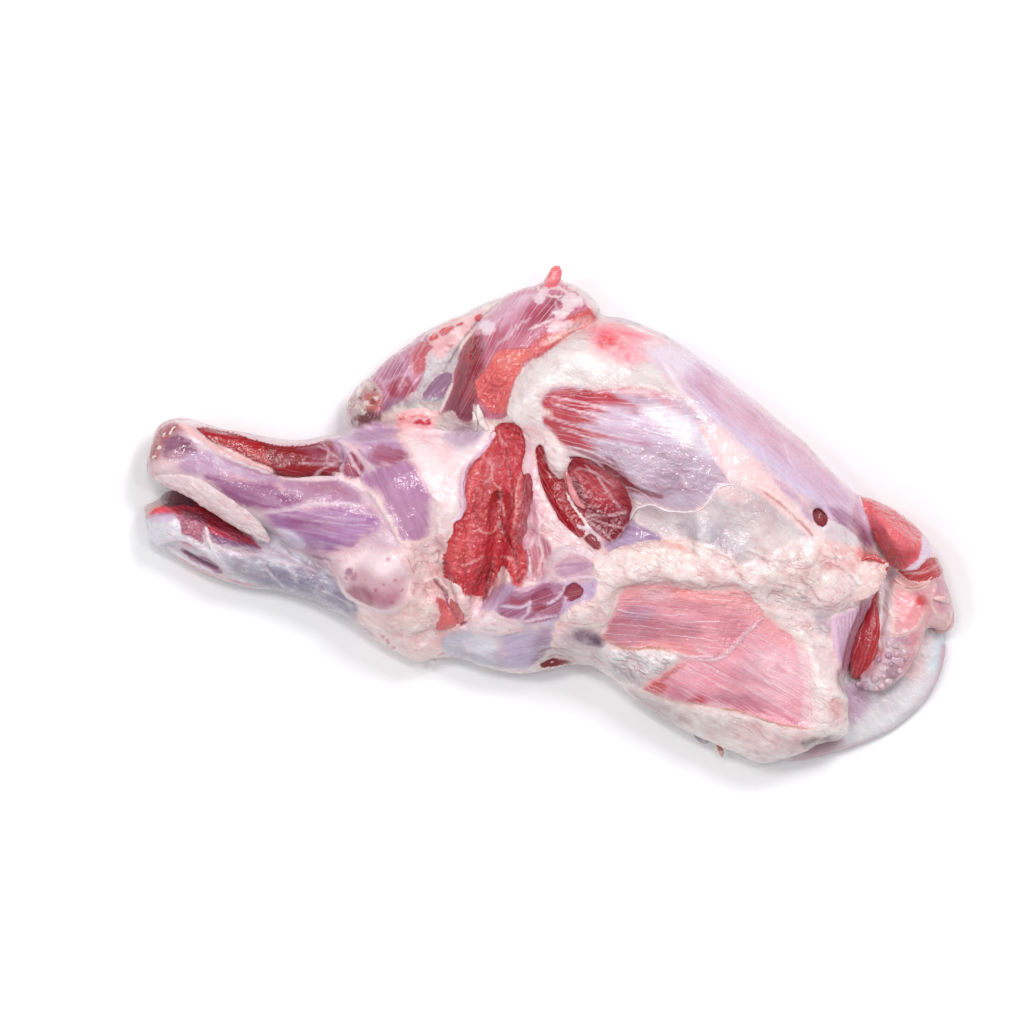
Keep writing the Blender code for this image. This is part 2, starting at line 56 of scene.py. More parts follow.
# The fine copies of the solids
MEAT_VOXEL = 1.0
MEAT_SOFTEN = 10  # smoothing steps
MEAT_TRIANGLES = 196000  # aimed at by thinning what faces down alone, so about 252,000 are left
UNDER_NORMAL = -0.25  # the surface faces down where its normal points lower than this
CARTILAGE_VOXEL = 0.9
CARTILAGE_SOFTEN = 6

# The paint
DEEPEN = 1.17  # power that makes up for the paleness of the gloss over a colour
PATH_STEPS = 5  # points worked out along each span of an outline or a path
COVERED = 9.0  # cover of a surface that is all fat; the same below zero is all bare muscle
FAR = -99.0  # stands for far outside an outline
FAT_LIP = 1.6  # how far fat colours reach past the fat's edge, so that the edge can be ragged

# The relief
MOST_RISE = 2.6  # either way
FOLD_TURN = -32  # degrees that the folds of the fat are turned by
FOLD_SQUEEZE = (0.55, 1.0, 0.8)  # scale of their noise along each axis: the smaller, the longer the folds

# Colours of the tissues, and of the painted light on some of them
CREAM = (240, 219, 216)
WHITE_FAT = (230, 220, 219)
PINK_FAT = (242, 200, 202)
# painted light: the paler colour of the fat on the ridges of its lumps
LIT_RIDGE_FAT = (251, 243, 241)
MAUVE = (182, 132, 166)
# a white film, whitened further by a painted sheen highlight
SILVERSKIN_AND_SHEEN = (246, 242, 248)
GRISTLE = (228, 226, 229)


# ---- shapes in plan ----


def smooth_curve(stations, closed=False):
    """Points of a Catmull-Rom curve through the stations."""
    points = np.array(stations, float)
    if closed:
        points = np.vstack([points[-1:], points, points[:2]])
    else:
        points = np.vstack([2 * points[0] - points[1], points, 2 * points[-1] - points[-2]])
    t = (np.arange(PATH_STEPS) / PATH_STEPS)[:, None]
    curve = []
    for a, b, c, d in zip(points, points[1:], points[2:], points[3:]):
        bend = (2 * a - 5 * b + 4 * c - d) * t**2
        twist = (3 * b - a - 3 * c + d) * t**3
        curve.append((2 * b + (c - a) * t + bend + twist) / 2)
    if not closed:
        curve.append(points[-2:-1])
    return np.vstack(curve)


def depth_inside(outline, x, y):
    """Distance to a closed outline, positive inside it."""
    curve = smooth_curve(outline, closed=True)
    nearest = np.full(x.shape, np.inf)
    inside = np.zeros(x.shape, bool)
    for (x0, y0), (x1, y1) in zip(curve, np.roll(curve, -1, axis=0)):
        dx, dy = x1 - x0, y1 - y0
        t = np.clip(((x - x0) * dx + (y - y0) * dy) / max(dx * dx + dy * dy, 1e-9), 0, 1)
        nearest = np.minimum(nearest, (x - x0 - t * dx) ** 2 + (y - y0 - t * dy) ** 2)
        if y0 != y1:
            inside ^= ((y0 > y) != (y1 > y)) & (x < x0 + (y - y0) * dx / dy)
    nearest = np.sqrt(nearest)
    return np.where(inside, nearest, -nearest)


def distance_along(path, x, y):
    """Distance to an open path, and how far along it the nearest point lies, from 0 to 1."""
    curve = smooth_curve(path)
    nearest = np.full(x.shape, np.inf)
    place = np.zeros(x.shape)
    spans = len(curve) - 1
    for i, (a, b) in enumerate(zip(curve, curve[1:])):
        dx, dy = b[0] - a[0], b[1] - a[1]
        t = np.clip(((x - a[0]) * dx + (y - a[1]) * dy) / max(dx * dx + dy * dy, 1e-9), 0, 1)
        square = (x - a[0] - t * dx) ** 2 + (y - a[1] - t * dy) ** 2
        closer = square < nearest
        nearest = np.where(closer, square, nearest)
        place = np.where(closer, (i + t) / spans, place)
    return np.sqrt(nearest), place


def smooth_step(value, low, high):
    t = np.clip((value - low) / (high - low), 0, 1)
    return t * t * (3 - 2 * t)


def noise(points, size, seed=0):
    """Gradient noise with features about size across, between about -1 and 1."""
    place = points / size + 13.7 * seed
    cell = np.floor(place).astype(np.int64)
    offset = place - cell
    fade = offset**3 * (offset * (offset * 6 - 15) + 10)
    total = np.zeros(len(points))
    for corner in itertools.product((0, 1), repeat=3):
        c = cell + corner
        # a hash of the corner gives its pull
        key = (c[:, 0] * 73856093) ^ (c[:, 1] * 19349663) ^ (c[:, 2] * 83492791) ^ (seed * 668265263)
        key = ((key ^ (key >> 13)) * 1274126177) & 0x7FFFFFFF
        key = (key ^ (key >> 16)) & 0x7FFFFFFF
        pull = np.stack([key & 1023, (key >> 10) & 1023, (key >> 20) & 1023], axis=1) / 511.5 - 1
        reach = offset - corner
        share = np.where(corner, fade, 1 - fade).prod(axis=1)
        total += share * (pull * reach).sum(axis=1)
    return total * 1.5


def layered_noise(points, size, layers=3, seed=0):
    total, weight = np.zeros(len(points)), 0.0
    for i in range(layers):
        total += noise(points, size / 2**i, seed + i) / 2**i
        weight += 1 / 2**i
    return total / weight


def tone(red, green, blue):
    """A screen colour, 0 to 255, turned into linear light and deepened for the gloss over it."""
    c = np.array([red, green, blue]) / 255
    return (((c + 0.055) / 1.055) ** 2.4) ** DEEPEN


# ---- meshes ----


def fine_copy(node, name, voxel, soften, triangles=None):
    """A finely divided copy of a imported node, coarser where it faces down."""
    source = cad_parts[node]
    obj = bpy.data.objects.new(name, source.data.copy())
    obj.data.transform(source.matrix_world)
    obj.data.materials.clear()
    bpy.context.scene.collection.objects.link(obj)
    remesh = obj.modifiers.new("fine", "REMESH")
    remesh.mode = "VOXEL"
    remesh.voxel_size = voxel * MILLIMETRE
    settle = obj.modifiers.new("soften", "SMOOTH")
    settle.factor = 0.5
    settle.iterations = soften
    bake_modifiers(obj)
    if triangles:
        mesh = obj.data
        mesh.calc_loop_triangles()
        normals = read(mesh.vertices, "normal", 3)
        down = obj.vertex_groups.new(name="down")
        for i in np.flatnonzero(normals[:, 2] < UNDER_NORMAL).tolist():
            down.add([i], 1.0, "REPLACE")
        thin = obj.modifiers.new("thin", "DECIMATE")
        thin.vertex_group = "down"
        thin.ratio = min(1.0, triangles / len(mesh.loop_triangles))
        bake_modifiers(obj)
        obj.vertex_groups.clear()
    return obj


def bake_modifiers(obj):
    done = bpy.data.meshes.new_from_object(obj.evaluated_get(bpy.context.evaluated_depsgraph_get()))
    obj.modifiers.clear()
    old = obj.data
    obj.data = done
    bpy.data.meshes.remove(old)


def read(items, what, width=1):
    values = np.empty(len(items) * width, np.float32)
    items.foreach_get(what, values)
    return values.reshape(-1, width).astype(float) if width > 1 else values.astype(float)


def write_attribute(mesh, name, values):
    """Names that start with tone are colours, and the others are vectors."""
    if name.startswith("tone"):
        layer = mesh.attributes.new(name, "FLOAT_COLOR", "POINT")
        rgba = np.hstack([values, np.ones((len(values), 1))]).astype(np.float32)
        layer.data.foreach_set("color", rgba.ravel())
    else:
        layer = mesh.attributes.new(name, "FLOAT_VECTOR", "POINT")
        layer.data.foreach_set("vector", values.astype(np.float32).ravel())


# ---- the paint ----


class Paint:
    """The colours, tissues and fibres of every point of one piece."""

    def __init__(self, obj, lean, fat):
        mesh = obj.data
        self.points = read(mesh.vertices, "co", 3) / MILLIMETRE
        self.normals = read(mesh.vertices, "normal", 3)
        self.x, self.y = self.points[:, 0], self.points[:, 1]
        count = len(self.points)
        self.lean = np.tile(tone(*lean), (count, 1))
        self.fat = np.tile(tone(*fat), (count, 1))
        self.cover = np.full(count, COVERED)
        for name in ("film", "crag", "across", "along", "fibre", "lines", "lump", "melt", "rise"):
            setattr(self, name, np.zeros(count))
        self.jitter = {}

    def ragged(self, amount, size):
        """Plan coordinates shifted by noise, for edges that aren't drawn with a ruler."""
        key = (amount, size)
        if key not in self.jitter:
            seed = 3 + len(self.jitter) * 7
            self.jitter[key] = (
                self.x + amount * layered_noise(self.points, size, 3, seed),
                self.y + amount * layered_noise(self.points, size, 3, seed + 50),
            )
        return self.jitter[key]

    def around(self, stations, ragged, margin):
        """Ragged plan coordinates, and which of them lie near the stations."""
        x, y = self.ragged(*ragged)
        xs, ys = zip(*stations)
        near = (x > min(xs) - margin) & (x < max(xs) + margin)
        near &= (y > min(ys) - margin) & (y < max(ys) + margin)
        return x, y, near

    def depth(self, outline, ragged=(1.0, 5.0), margin=6.0):
        """Depth inside an outline, worked out only for the points near it."""
        x, y, near = self.around(outline, ragged, margin)
        depth = np.full(len(x), FAR)
        depth[near] = depth_inside(outline, x[near], y[near])
        return depth

    def near_path(self, path, ragged=(0.5, 4.0), margin=10.0):
        x, y, near = self.around(path, ragged, margin)
        distance, place = np.full(len(x), -FAR), np.zeros(len(x))
        distance[near], place[near] = distance_along(path, x[near], y[near])
        return distance, place

    def run(self, share, grain, fibre, lines):
        """Sets the run of the fibres and how strong they and their lines are.

        grain is an angle, or a fan's centre and the distance at which the fibres are as wide as elsewhere.
        """
        if len(grain) == 1:
            a = math.radians(grain[0])
            along = self.x * math.cos(a) + self.y * math.sin(a)
            across = self.y * math.cos(a) - self.x * math.sin(a)
        else:
            dx, dy = self.x - grain[0], self.y - grain[1]
            along = np.hypot(dx, dy)
            across = np.arctan2(dy, dx) * grain[2]
        inside = share > 0.5
        self.across[inside] = across[inside]
        self.along[inside] = along[inside]
        self.fibre = self.fibre * (1 - share) + fibre * share
        self.lines = self.lines * (1 - share) + lines * share

    def muscle(self, outline, colour, grain=None, fibre=0.5, lines=0.3, film=0.0, crag=0.0, sink=0.6,
            melt=0.0, soft=0.7, ragged=(1.0, 5.0)):
        """Bare muscle. Where it melts, its skin thins out over that many millimetres instead of ending."""
        depth = self.depth(outline, ragged)
        soft += melt / 2
        share = smooth_step(depth, -soft, soft)
        wide = smooth_step(depth, -soft - FAT_LIP - melt, -0.2)
        colouring = np.where(self.cover > 0, wide, share)[:, None]
        self.lean += (tone(*colour) - self.lean) * colouring
        self.cover = np.minimum(self.cover, -depth)
        self.melt += (melt - self.melt) * smooth_step(depth, -2 - 2 * melt, -1 - melt)
        self.film += (film - self.film) * share
        self.crag += (crag - self.crag) * share
        self.lump *= 1 - share
        if grain is not None:
            self.run(share, grain, fibre, lines)
        self.rise -= sink * share

    def skin(self, outline, colour, rise=0.5, lump=0.4, melt=0.5, soft=0.7, ragged=(1.0, 5.0)):
        """Fat, fascia or another pale tissue that lies over the muscle."""
        depth = self.depth(outline, ragged)
        wide = smooth_step(depth, -soft - FAT_LIP, soft - FAT_LIP / 2)[:, None]
        share = smooth_step(depth, -soft, soft)
        self.fat += (tone(*colour) - self.fat) * wide
        self.cover = np.maximum(self.cover, depth)
        self.melt += (melt - self.melt) * smooth_step(depth, -2 - melt, -0.5)
        self.lump += (lump - self.lump) * share
        self.rise += rise * share

    def tint(self, outline, colour, amount=1.0, soft=3.0, layer="both", film=None, crag=None, rise=0.0,
             ragged=(1.6, 6.0)):
        """A soft change of colour."""
        share = amount * smooth_step(self.depth(outline, ragged, margin=soft + 4), -soft, soft)
        self.colour(share, colour, layer)
        if film is not None:
            self.film += (film - self.film) * share
        if crag is not None:
            self.crag += (crag - self.crag) * share
        self.rise += rise * share

    def colour(self, share, colour, layer):
        share = share[:, None]
        if layer in ("both", "lean"):
            self.lean += (tone(*colour) - self.lean) * share
        if layer in ("both", "fat"):
            self.fat += (tone(*colour) - self.fat) * share

    def spot(self, centre, radius, colour, amount=1.0, layer="both", rise=0.0, hard=0.5):
        x, y = self.ragged(0.8, 2.5)
        share = amount * smooth_step(-np.hypot(x - centre[0], y - centre[1]), -radius, -radius * hard)
        self.colour(share, colour, layer)
        self.rise += rise * share

    def stroke(self, path, width, colour, amount=1.0, layer="both", kind=None, rise=0.0, soft=0.5,
               ragged=(0.5, 4.0), taper=0.15, on_top=False):
        """A line along a path. kind "fat" lays it over the muscle, and "bare" cuts it through the fat.

        on_top keeps it off the steep flanks.
        """
        distance, place = self.near_path(path, ragged, margin=width + 6)
        half = width / 2 * smooth_step(np.minimum(place, 1 - place), -taper, taper) if taper else width / 2
        depth = half - distance
        if on_top:
            depth = depth - 5 * smooth_step(-self.normals[:, 2], -0.5, -0.25)
        share = amount * smooth_step(depth, -soft, soft)
        self.colour(share, colour, layer)
        if kind == "fat":
            self.cover = np.maximum(self.cover, depth)
        if kind == "bare":
            self.cover = np.minimum(self.cover, -depth)
        self.rise += rise * share


def paint_outside(p):
    """The flanks, which turn away from the camera: fat with thin muscle showing through."""
    broad = smooth_step(layered_noise(p.points, 34.0, 3, 71), 0.12, 0.32)
    p.colour(0.6 * broad, PINK_FAT, "fat")
    thin = smooth_step(layered_noise(p.points, 46.0, 3, 83), 0.16, 0.42)
    p.colour(0.7 * thin, (212, 150, 162), "fat")
    p.lump += 0.5


def paint_plain_fat(p):
    """Plain fat over everything that faces up, before the muscles are bared."""
    p.colour(smooth_step(p.normals[:, 2], -0.1, 0.35), CREAM, "fat")


def paint_shank(p):
    p.skin([(-204.4, 53.1), (-74.4, 53.1), (-56.4, 38.1), (-54.4, -41.9), (-74.4, -47.9), (-109.4, -36.9),
        (-154.4, -16.9), (-174.4, 5.6), (-204.4, 12.1)], (220, 192, 204), rise=0.0, lump=0.15, soft=2.0)
    # tip
    p.tint([(-201.4, 38.1), (-196.4, 45.6), (-185.4, 48.1), (-179.4, 46.1), (-189.4, 38.1), (-196.4, 23.1),
        (-200.4, 19.1)], (178, 112, 122), 1.0)
    p.muscle([(-192.9, 37.6), (-188.4, 40.1), (-182.9, 40.1), (-177.9, 36.1), (-174.9, 30.6),
        (-180.4, 29.1), (-185.4, 27.6), (-191.9, 27.6), (-194.4, 30.6), (-192.9, 34.1)], (146, 86, 116),
        (-10,), 0.2, 0.0, film=0.25, sink=0.3, melt=1.4)
    p.tint([(-190.4, 32.1), (-180.4, 32.1), (-181.4, 28.1), (-190.4, 28.1)], (196, 140, 158), 0.6, 1.5)
    for spot in ((-191.4, 40.1), (-194.4, 44.1), (-199.9, 25.1), (-200.9, 28.1)):
        p.spot(spot, 1.8, (168, 70, 70), 0.8)
    p.stroke([(-199.4, 23.1), (-199.9, 33.1), (-195.9, 42.6), (-189.4, 47.1), (-182.4, 48.6)], 1.2,
        (222, 180, 180), 0.8)
    # cream belly of the bone with its lilac upper face
    p.tint([(-199.4, 27.1), (-181.9, 27.1), (-166.9, 17.1), (-149.4, 5.1), (-135.4, -3.9), (-143.4, -8.9),
        (-156.4, -2.9), (-171.9, 8.1), (-186.9, 14.1), (-199.4, 16.1)], (228, 206, 210), 0.9)
    p.tint([(-179.4, 32.1), (-159.4, 30.6), (-143.4, 24.1), (-131.9, 20.1), (-104.4, 21.1), (-101.4, 17.1),
        (-134.4, 16.1), (-154.4, 19.1), (-171.9, 19.6), (-184.4, 24.1)], (202, 170, 198), 0.95, 1.8)
    p.tint([(-143.4, 18.1), (-109.4, 20.1), (-98.4, 15.1), (-92.4, 6.1), (-105.4, 6.6), (-124.4, 9.1),
        (-134.4, 13.1)], (192, 150, 178), 0.95, 2.4)
    p.stroke([(-186.4, 47.6), (-164.4, 43.6), (-144.4, 39.1), (-124.4, 37.6), (-101.9, 41.1),
        (-86.9, 44.1)], 3.4, (226, 207, 212))
    p.stroke([(-176.4, 48.1), (-154.4, 42.6), (-129.4, 39.1), (-104.4, 41.1)], 1.3, (182, 150, 166), 0.7)
    # raw muscle lying in the groove
    p.muscle([(-175.9, 44.1), (-170.4, 44.6), (-159.4, 42.6), (-148.4, 39.1), (-136.9, 36.1),
        (-124.4, 35.6), (-113.4, 37.6), (-106.4, 37.6), (-103.4, 32.1), (-103.4, 27.6), (-105.4, 24.1),
        (-104.4, 21.1), (-115.4, 21.1), (-124.4, 20.6), (-134.4, 22.6), (-143.4, 26.1), (-154.4, 29.6),
        (-163.4, 34.1), (-170.4, 39.1)], (152, 4, 34), (-9,), 0.4, 0.08, crag=0.0, sink=1.2,
        ragged=(0.6, 5.0))
    p.tint([(-175.4, 44.1), (-154.4, 40.1), (-143.4, 35.1), (-143.4, 29.1), (-160.4, 34.1), (-171.4, 39.1)],
        (184, 14, 36), 0.85, layer="lean")
    # dark line along the lower border of the groove: painted shade, sunk into the surface
    p.stroke([(-171.4, 39.1), (-158.4, 31.1), (-143.4, 24.6), (-129.4, 20.6), (-115.4, 21.6),
        (-105.4, 21.1)], 2.4, (112, 26, 42), 0.85, kind="bare", rise=-1.2)
    p.stroke([(-153.4, 35.1), (-146.9, 30.6), (-140.4, 26.1)], 2.2, (214, 110, 112), 0.4, "lean")
    p.stroke([(-142.4, 36.1), (-138.4, 30.6), (-134.9, 24.6)], 1.1, (120, 30, 46), 0.6, "lean")
    p.tint([(-124.4, 38.1), (-111.4, 37.6), (-103.4, 30.1), (-106.4, 23.1), (-118.4, 28.1)], (158, 60, 92),
        0.6, 2.5, layer="lean", film=0.3)
    for path in ([(-115.4, 36.1), (-109.4, 32.1), (-103.4, 27.1)],
            [(-124.4, 26.6), (-113.4, 26.1), (-103.4, 27.6)],
            [(-119.4, 21.1), (-111.9, 24.6), (-105.4, 26.1)],
            [(-113.4, 37.6), (-110.4, 33.1), (-111.4, 27.1)]):
        p.stroke(path, 0.8, (222, 186, 198), 0.7, "lean")
    # tendon
    p.stroke([(-184.4, 46.1), (-176.4, 40.1), (-167.4, 35.1), (-156.4, 30.1), (-146.4, 25.1),
        (-138.4, 22.6)], 3.6, (240, 202, 200), kind="fat", rise=0.9)
    p.stroke([(-180.4, 40.1), (-169.4, 33.1), (-156.4, 27.6), (-143.4, 22.6), (-129.4, 19.1)], 1.4,
        (228, 214, 222), kind="fat")
    # two long muscles of the forearm
    p.muscle([(-172.4, 19.6), (-164.4, 20.6), (-155.4, 18.1), (-142.4, 16.1), (-132.4, 12.6), (-123.4, 8.6),
        (-129.4, 5.1), (-141.4, 2.6), (-152.4, 4.6), (-163.4, 12.1)], (164, 100, 144), (-17,), 0.4, 0.1,
        film=0.3, sink=0.2, soft=1.0, ragged=(2.0, 7.0), melt=2.2)
    p.muscle([(-141.4, 1.6), (-124.4, 3.6), (-104.4, 4.6), (-87.4, 1.6), (-85.4, -4.9), (-92.4, -10.9),
        (-98.4, -16.4), (-118.4, -18.4), (-131.4, -12.4), (-137.4, -5.9)], (178, 122, 172), (-8,), 0.3, 0.1,
        film=0.35, sink=0.2, soft=1.0, ragged=(2.2, 7.0), melt=3.8)
    p.tint([(-131.4, -0.9), (-118.4, 0.1), (-104.4, -2.9), (-107.4, -7.9), (-124.4, -7.9)], (166, 104, 146),
        0.7, 3.0, "lean")
    p.tint([(-126.4, -10.9), (-109.4, -10.9), (-99.4, -14.9), (-114.4, -18.4), (-125.4, -16.9)],
        (166, 118, 160), 0.6, 3.0, "lean")
    p.tint([(-123.4, 18.1), (-109.4, 17.1), (-100.4, 11.1), (-109.4, 11.1), (-121.4, 14.1)],
        (184, 128, 152), 0.7, 2.0)
    p.stroke([(-143.4, 1.6), (-130.4, 3.1), (-118.4, 5.6), (-104.4, 6.6), (-92.4, 5.1)], 1.6,
        (222, 200, 214), 0.9)
    p.stroke([(-124.4, 2.6), (-109.4, -0.4), (-91.4, -1.9)], 1.0, (214, 190, 210), 0.6)
    p.stroke([(-119.4, -1.9), (-101.9, -3.9), (-86.4, -4.9)], 0.8, (214, 190, 210), 0.6)
    # a whitish film on the muscle, with a painted sheen highlight over it
    p.tint([(-136.9, -6.9), (-128.4, -7.4), (-121.4, -14.4), (-124.4, -16.4), (-131.4, -12.9)],
        (228, 220, 236), 0.85, 1.6, film=0.9, rise=0.3)
    p.stroke([(-137.4, -6.9), (-131.4, -14.4), (-122.4, -18.9), (-109.4, -21.9)], 1.2, (140, 104, 136), 0.7)
    # a paler band along the bone's lower edge over the mouth: painted light on a wall that faces away from
    # the lamps
    p.tint([(-190.4, 20.1), (-176.4, 16.6), (-163.4, 8.1), (-150.4, -0.9), (-142.4, -7.4), (-148.4, -10.9),
        (-158.4, -4.4), (-171.4, 4.6), (-184.4, 12.1), (-192.4, 14.6)], (252, 240, 240), 0.95, 1.6)
    # fascia that runs down the side, and the base of the lower end
    p.skin([(-205.4, 8.1), (-191.9, 13.1), (-171.9, 4.1), (-143.4, -14.4), (-124.4, -17.9), (-99.4, -41.9),
        (-104.4, -54.4), (-154.4, -36.9), (-204.4, -14.4)], (200, 194, 204), rise=0.0, lump=0.1, soft=1.0)
    p.tint([(-176.4, 18.1), (-161.4, 8.1), (-143.4, -1.9), (-136.4, -6.9), (-124.4, -19.9), (-101.4, -36.9),
        (-98.4, -47.9), (-124.4, -41.9), (-143.4, -36.9), (-156.4, -22.9), (-145.4, -15.9), (-156.4, -4.9),
        (-171.4, 8.1)], (184, 176, 190), 0.9, 2.0)
    p.tint([(-148.4, -11.9), (-136.4, -9.9), (-121.4, -19.9), (-126.4, -24.9), (-139.4, -24.9)],
        (226, 224, 232), 0.8, 2.4)
    # darker grey along the lower edge: painted shade on the side that faces down
    p.tint([(-158.4, -19.9), (-143.4, -21.9), (-124.4, -26.9), (-104.4, -35.9), (-96.4, -43.9),
        (-99.4, -49.9), (-118.4, -43.4), (-138.4, -36.9), (-152.4, -31.9)], (150, 146, 166), 0.75, 2.4)
    p.lump += 0.35 * smooth_step(p.depth([(-176.4, 13.1), (-154.4, -1.9), (-124.4, -15.9), (-94.4, -46.9),
        (-88.4, -59.9), (-124.4, -44.9), (-154.4, -31.9), (-174.4, -21.9)]), -2, 2)
    p.tint([(-124.4, -40.9), (-109.4, -44.9), (-93.4, -54.9), (-88.4, -59.9), (-104.4, -52.9),
        (-118.4, -44.9)], (186, 168, 186), 0.8, 2.0)
    for path in ([(-140.4, -21.9), (-124.4, -24.9), (-107.4, -29.9)],
            [(-143.4, -22.9), (-139.4, -28.9), (-132.4, -35.9)],
            [(-129.4, -15.9), (-118.4, -22.9), (-104.4, -31.9)],
            [(-119.4, -34.4), (-109.4, -38.9), (-98.4, -44.9)]):
        p.stroke(path, 0.9, (236, 228, 232), 0.6)
    for path in ([(-156.4, -21.9), (-139.4, -31.9), (-114.4, -40.9)],
            [(-149.4, -19.9), (-129.4, -28.9), (-102.4, -41.9)],
            [(-140.4, -15.9), (-124.4, -24.9), (-99.4, -38.9)],
            [(-134.4, -11.9), (-118.4, -24.9), (-98.4, -35.9)],
            [(-151.4, -27.9), (-136.4, -35.9), (-116.4, -42.9)]):
        p.stroke(path, 1.4, (154, 150, 168), 0.4, soft=0.9, taper=0.4, ragged=(1.4, 7.0))
    for path in ([(-142.4, -24.9), (-131.4, -30.9), (-113.4, -36.9)],
            [(-133.4, -14.9), (-124.4, -21.9), (-109.4, -30.9)],
            [(-154.4, -24.9), (-143.4, -31.9), (-129.4, -36.9)]):
        p.stroke(path, 1.0, (142, 132, 148), 0.5)
    # pad over the elbow
    p.muscle([(-105.4, -24.9), (-98.4, -19.9), (-88.4, -16.4), (-76.4, -17.9), (-70.4, -24.9),
        (-69.4, -35.9), (-73.4, -43.9), (-81.4, -47.4), (-90.4, -43.9), (-99.4, -39.4), (-104.4, -32.9)],
        (244, 222, 226), (-60,), 0.05, 0.0, film=0.2, sink=-0.4, soft=1.4, ragged=(1.5, 8.0), melt=3.5)
    p.tint([(-102.4, -28.9), (-93.4, -24.9), (-82.4, -30.9), (-72.4, -28.9), (-72.4, -41.9), (-81.4, -46.9),
        (-93.4, -42.9), (-100.4, -36.9)], (214, 172, 182), 0.9, 4.0)
    p.tint([(-101.4, -35.9), (-93.4, -34.9), (-86.4, -39.9), (-90.4, -44.9), (-99.4, -40.9)],
        (164, 84, 108), 0.85, 2.4)
    for spot, size in (((-99.4, -26.9), 1.6), ((-96.4, -28.9), 1.2), ((-86.4, -36.9), 1.6),
            ((-82.4, -33.9), 1.0), ((-76.9, -31.9), 1.2), ((-73.4, -36.9), 1.4), ((-101.4, -30.9), 1.4),
            ((-80.4, -21.9), 1.6), ((-78.4, -42.9), 1.6), ((-91.4, -31.9), 0.9)):
        p.spot(spot, size, (188, 92, 116), 0.7, hard=0.2)
    p.tint([(-86.4, -38.9), (-75.4, -37.9), (-79.4, -45.4), (-87.4, -44.9)], (182, 104, 132), 0.6, 2.4)
    p.spot((-99.9, -27.9), 2.6, (176, 128, 158), 0.8)
    p.spot((-97.4, -30.9), 2.0, (190, 130, 150), 0.7)
    p.stroke([(-105.4, -31.9), (-101.4, -38.9), (-93.4, -43.9), (-82.4, -47.9), (-72.4, -44.9)], 2.0,
        (232, 214, 220), kind="fat", rise=0.3)
    p.stroke([(-75.4, -16.9), (-69.9, -24.9), (-68.4, -33.9), (-71.4, -42.9)], 2.2, (240, 214, 214),
        kind="fat", rise=0.5)
    # cream ribbon between the forearm and the front muscle
    p.stroke([(-106.4, 21.1), (-96.4, 17.1), (-87.4, 12.1), (-80.4, 2.1), (-75.4, -6.9), (-71.4, -14.4),
        (-68.4, -19.9)], 5.2, (243, 222, 222), kind="fat", rise=1.0, ragged=(1.0, 5.0))
    p.stroke([(-134.4, 19.6), (-119.4, 18.6), (-104.4, 19.6)], 2.6, (232, 214, 220), 0.9, kind="fat",
        rise=0.3)
    # front muscle
    p.muscle([(-94.4, 18.6), (-88.4, 23.1), (-80.4, 26.1), (-70.4, 27.6), (-65.4, 23.1), (-60.4, 13.1),
        (-55.9, 4.1), (-58.4, -2.9), (-61.4, -9.4), (-68.4, -12.4), (-74.4, -9.4), (-78.9, 2.1),
        (-85.4, 12.1)], (188, 136, 172), (-63,), 0.14, 0.06, film=0.2, sink=0.1, soft=1.0, melt=3.0,
        ragged=(2.2, 7.0))
    p.tint([(-78.4, 5.6), (-59.4, 5.6), (-60.4, -9.4), (-70.4, -10.9)], (184, 132, 162), 0.6, 3.0, "lean")
    p.muscle([(-107.4, 37.6), (-98.4, 42.6), (-86.4, 45.1), (-78.4, 43.1), (-73.4, 36.1), (-68.4, 30.6),
        (-74.4, 27.1), (-82.4, 25.1), (-91.4, 21.1), (-101.4, 19.1), (-103.4, 27.1)], (192, 150, 184),
        (-20,), 0.3, 0.12, film=0.45, sink=0.2, soft=0.8, melt=2.6, ragged=(2.0, 6.0))
    p.muscle([(-86.4, 35.1), (-77.4, 35.1), (-69.4, 30.1), (-76.4, 26.6), (-85.4, 25.1), (-90.4, 29.1)],
        (172, 92, 122), (-15,), 0.5, 0.15, film=0.2, sink=0.2, melt=2.4, ragged=(2.4, 6.0))
    p.muscle([(-101.4, 28.1), (-98.4, 33.1), (-93.4, 30.6), (-92.9, 24.1), (-95.4, 19.6), (-99.9, 18.6),
        (-102.9, 23.1)], (164, 66, 94), (-70,), 0.5, 0.4, film=0.1, sink=0.5, melt=1.0, ragged=(1.6, 5.0))
    for path in ([(-102.4, 36.1), (-98.4, 27.1), (-93.4, 20.1)],
            [(-100.4, 32.1), (-96.4, 35.1), (-91.4, 32.1)], [(-98.4, 34.1), (-93.4, 28.1), (-90.4, 22.1)]):
        p.stroke(path, 0.9, (226, 200, 214), 0.85, kind="fat")
    p.stroke([(-104.4, 37.6), (-98.4, 34.1), (-92.4, 27.1), (-87.4, 23.1)], 2.4, (232, 206, 216), 0.8,
        kind="fat", rise=0.3)
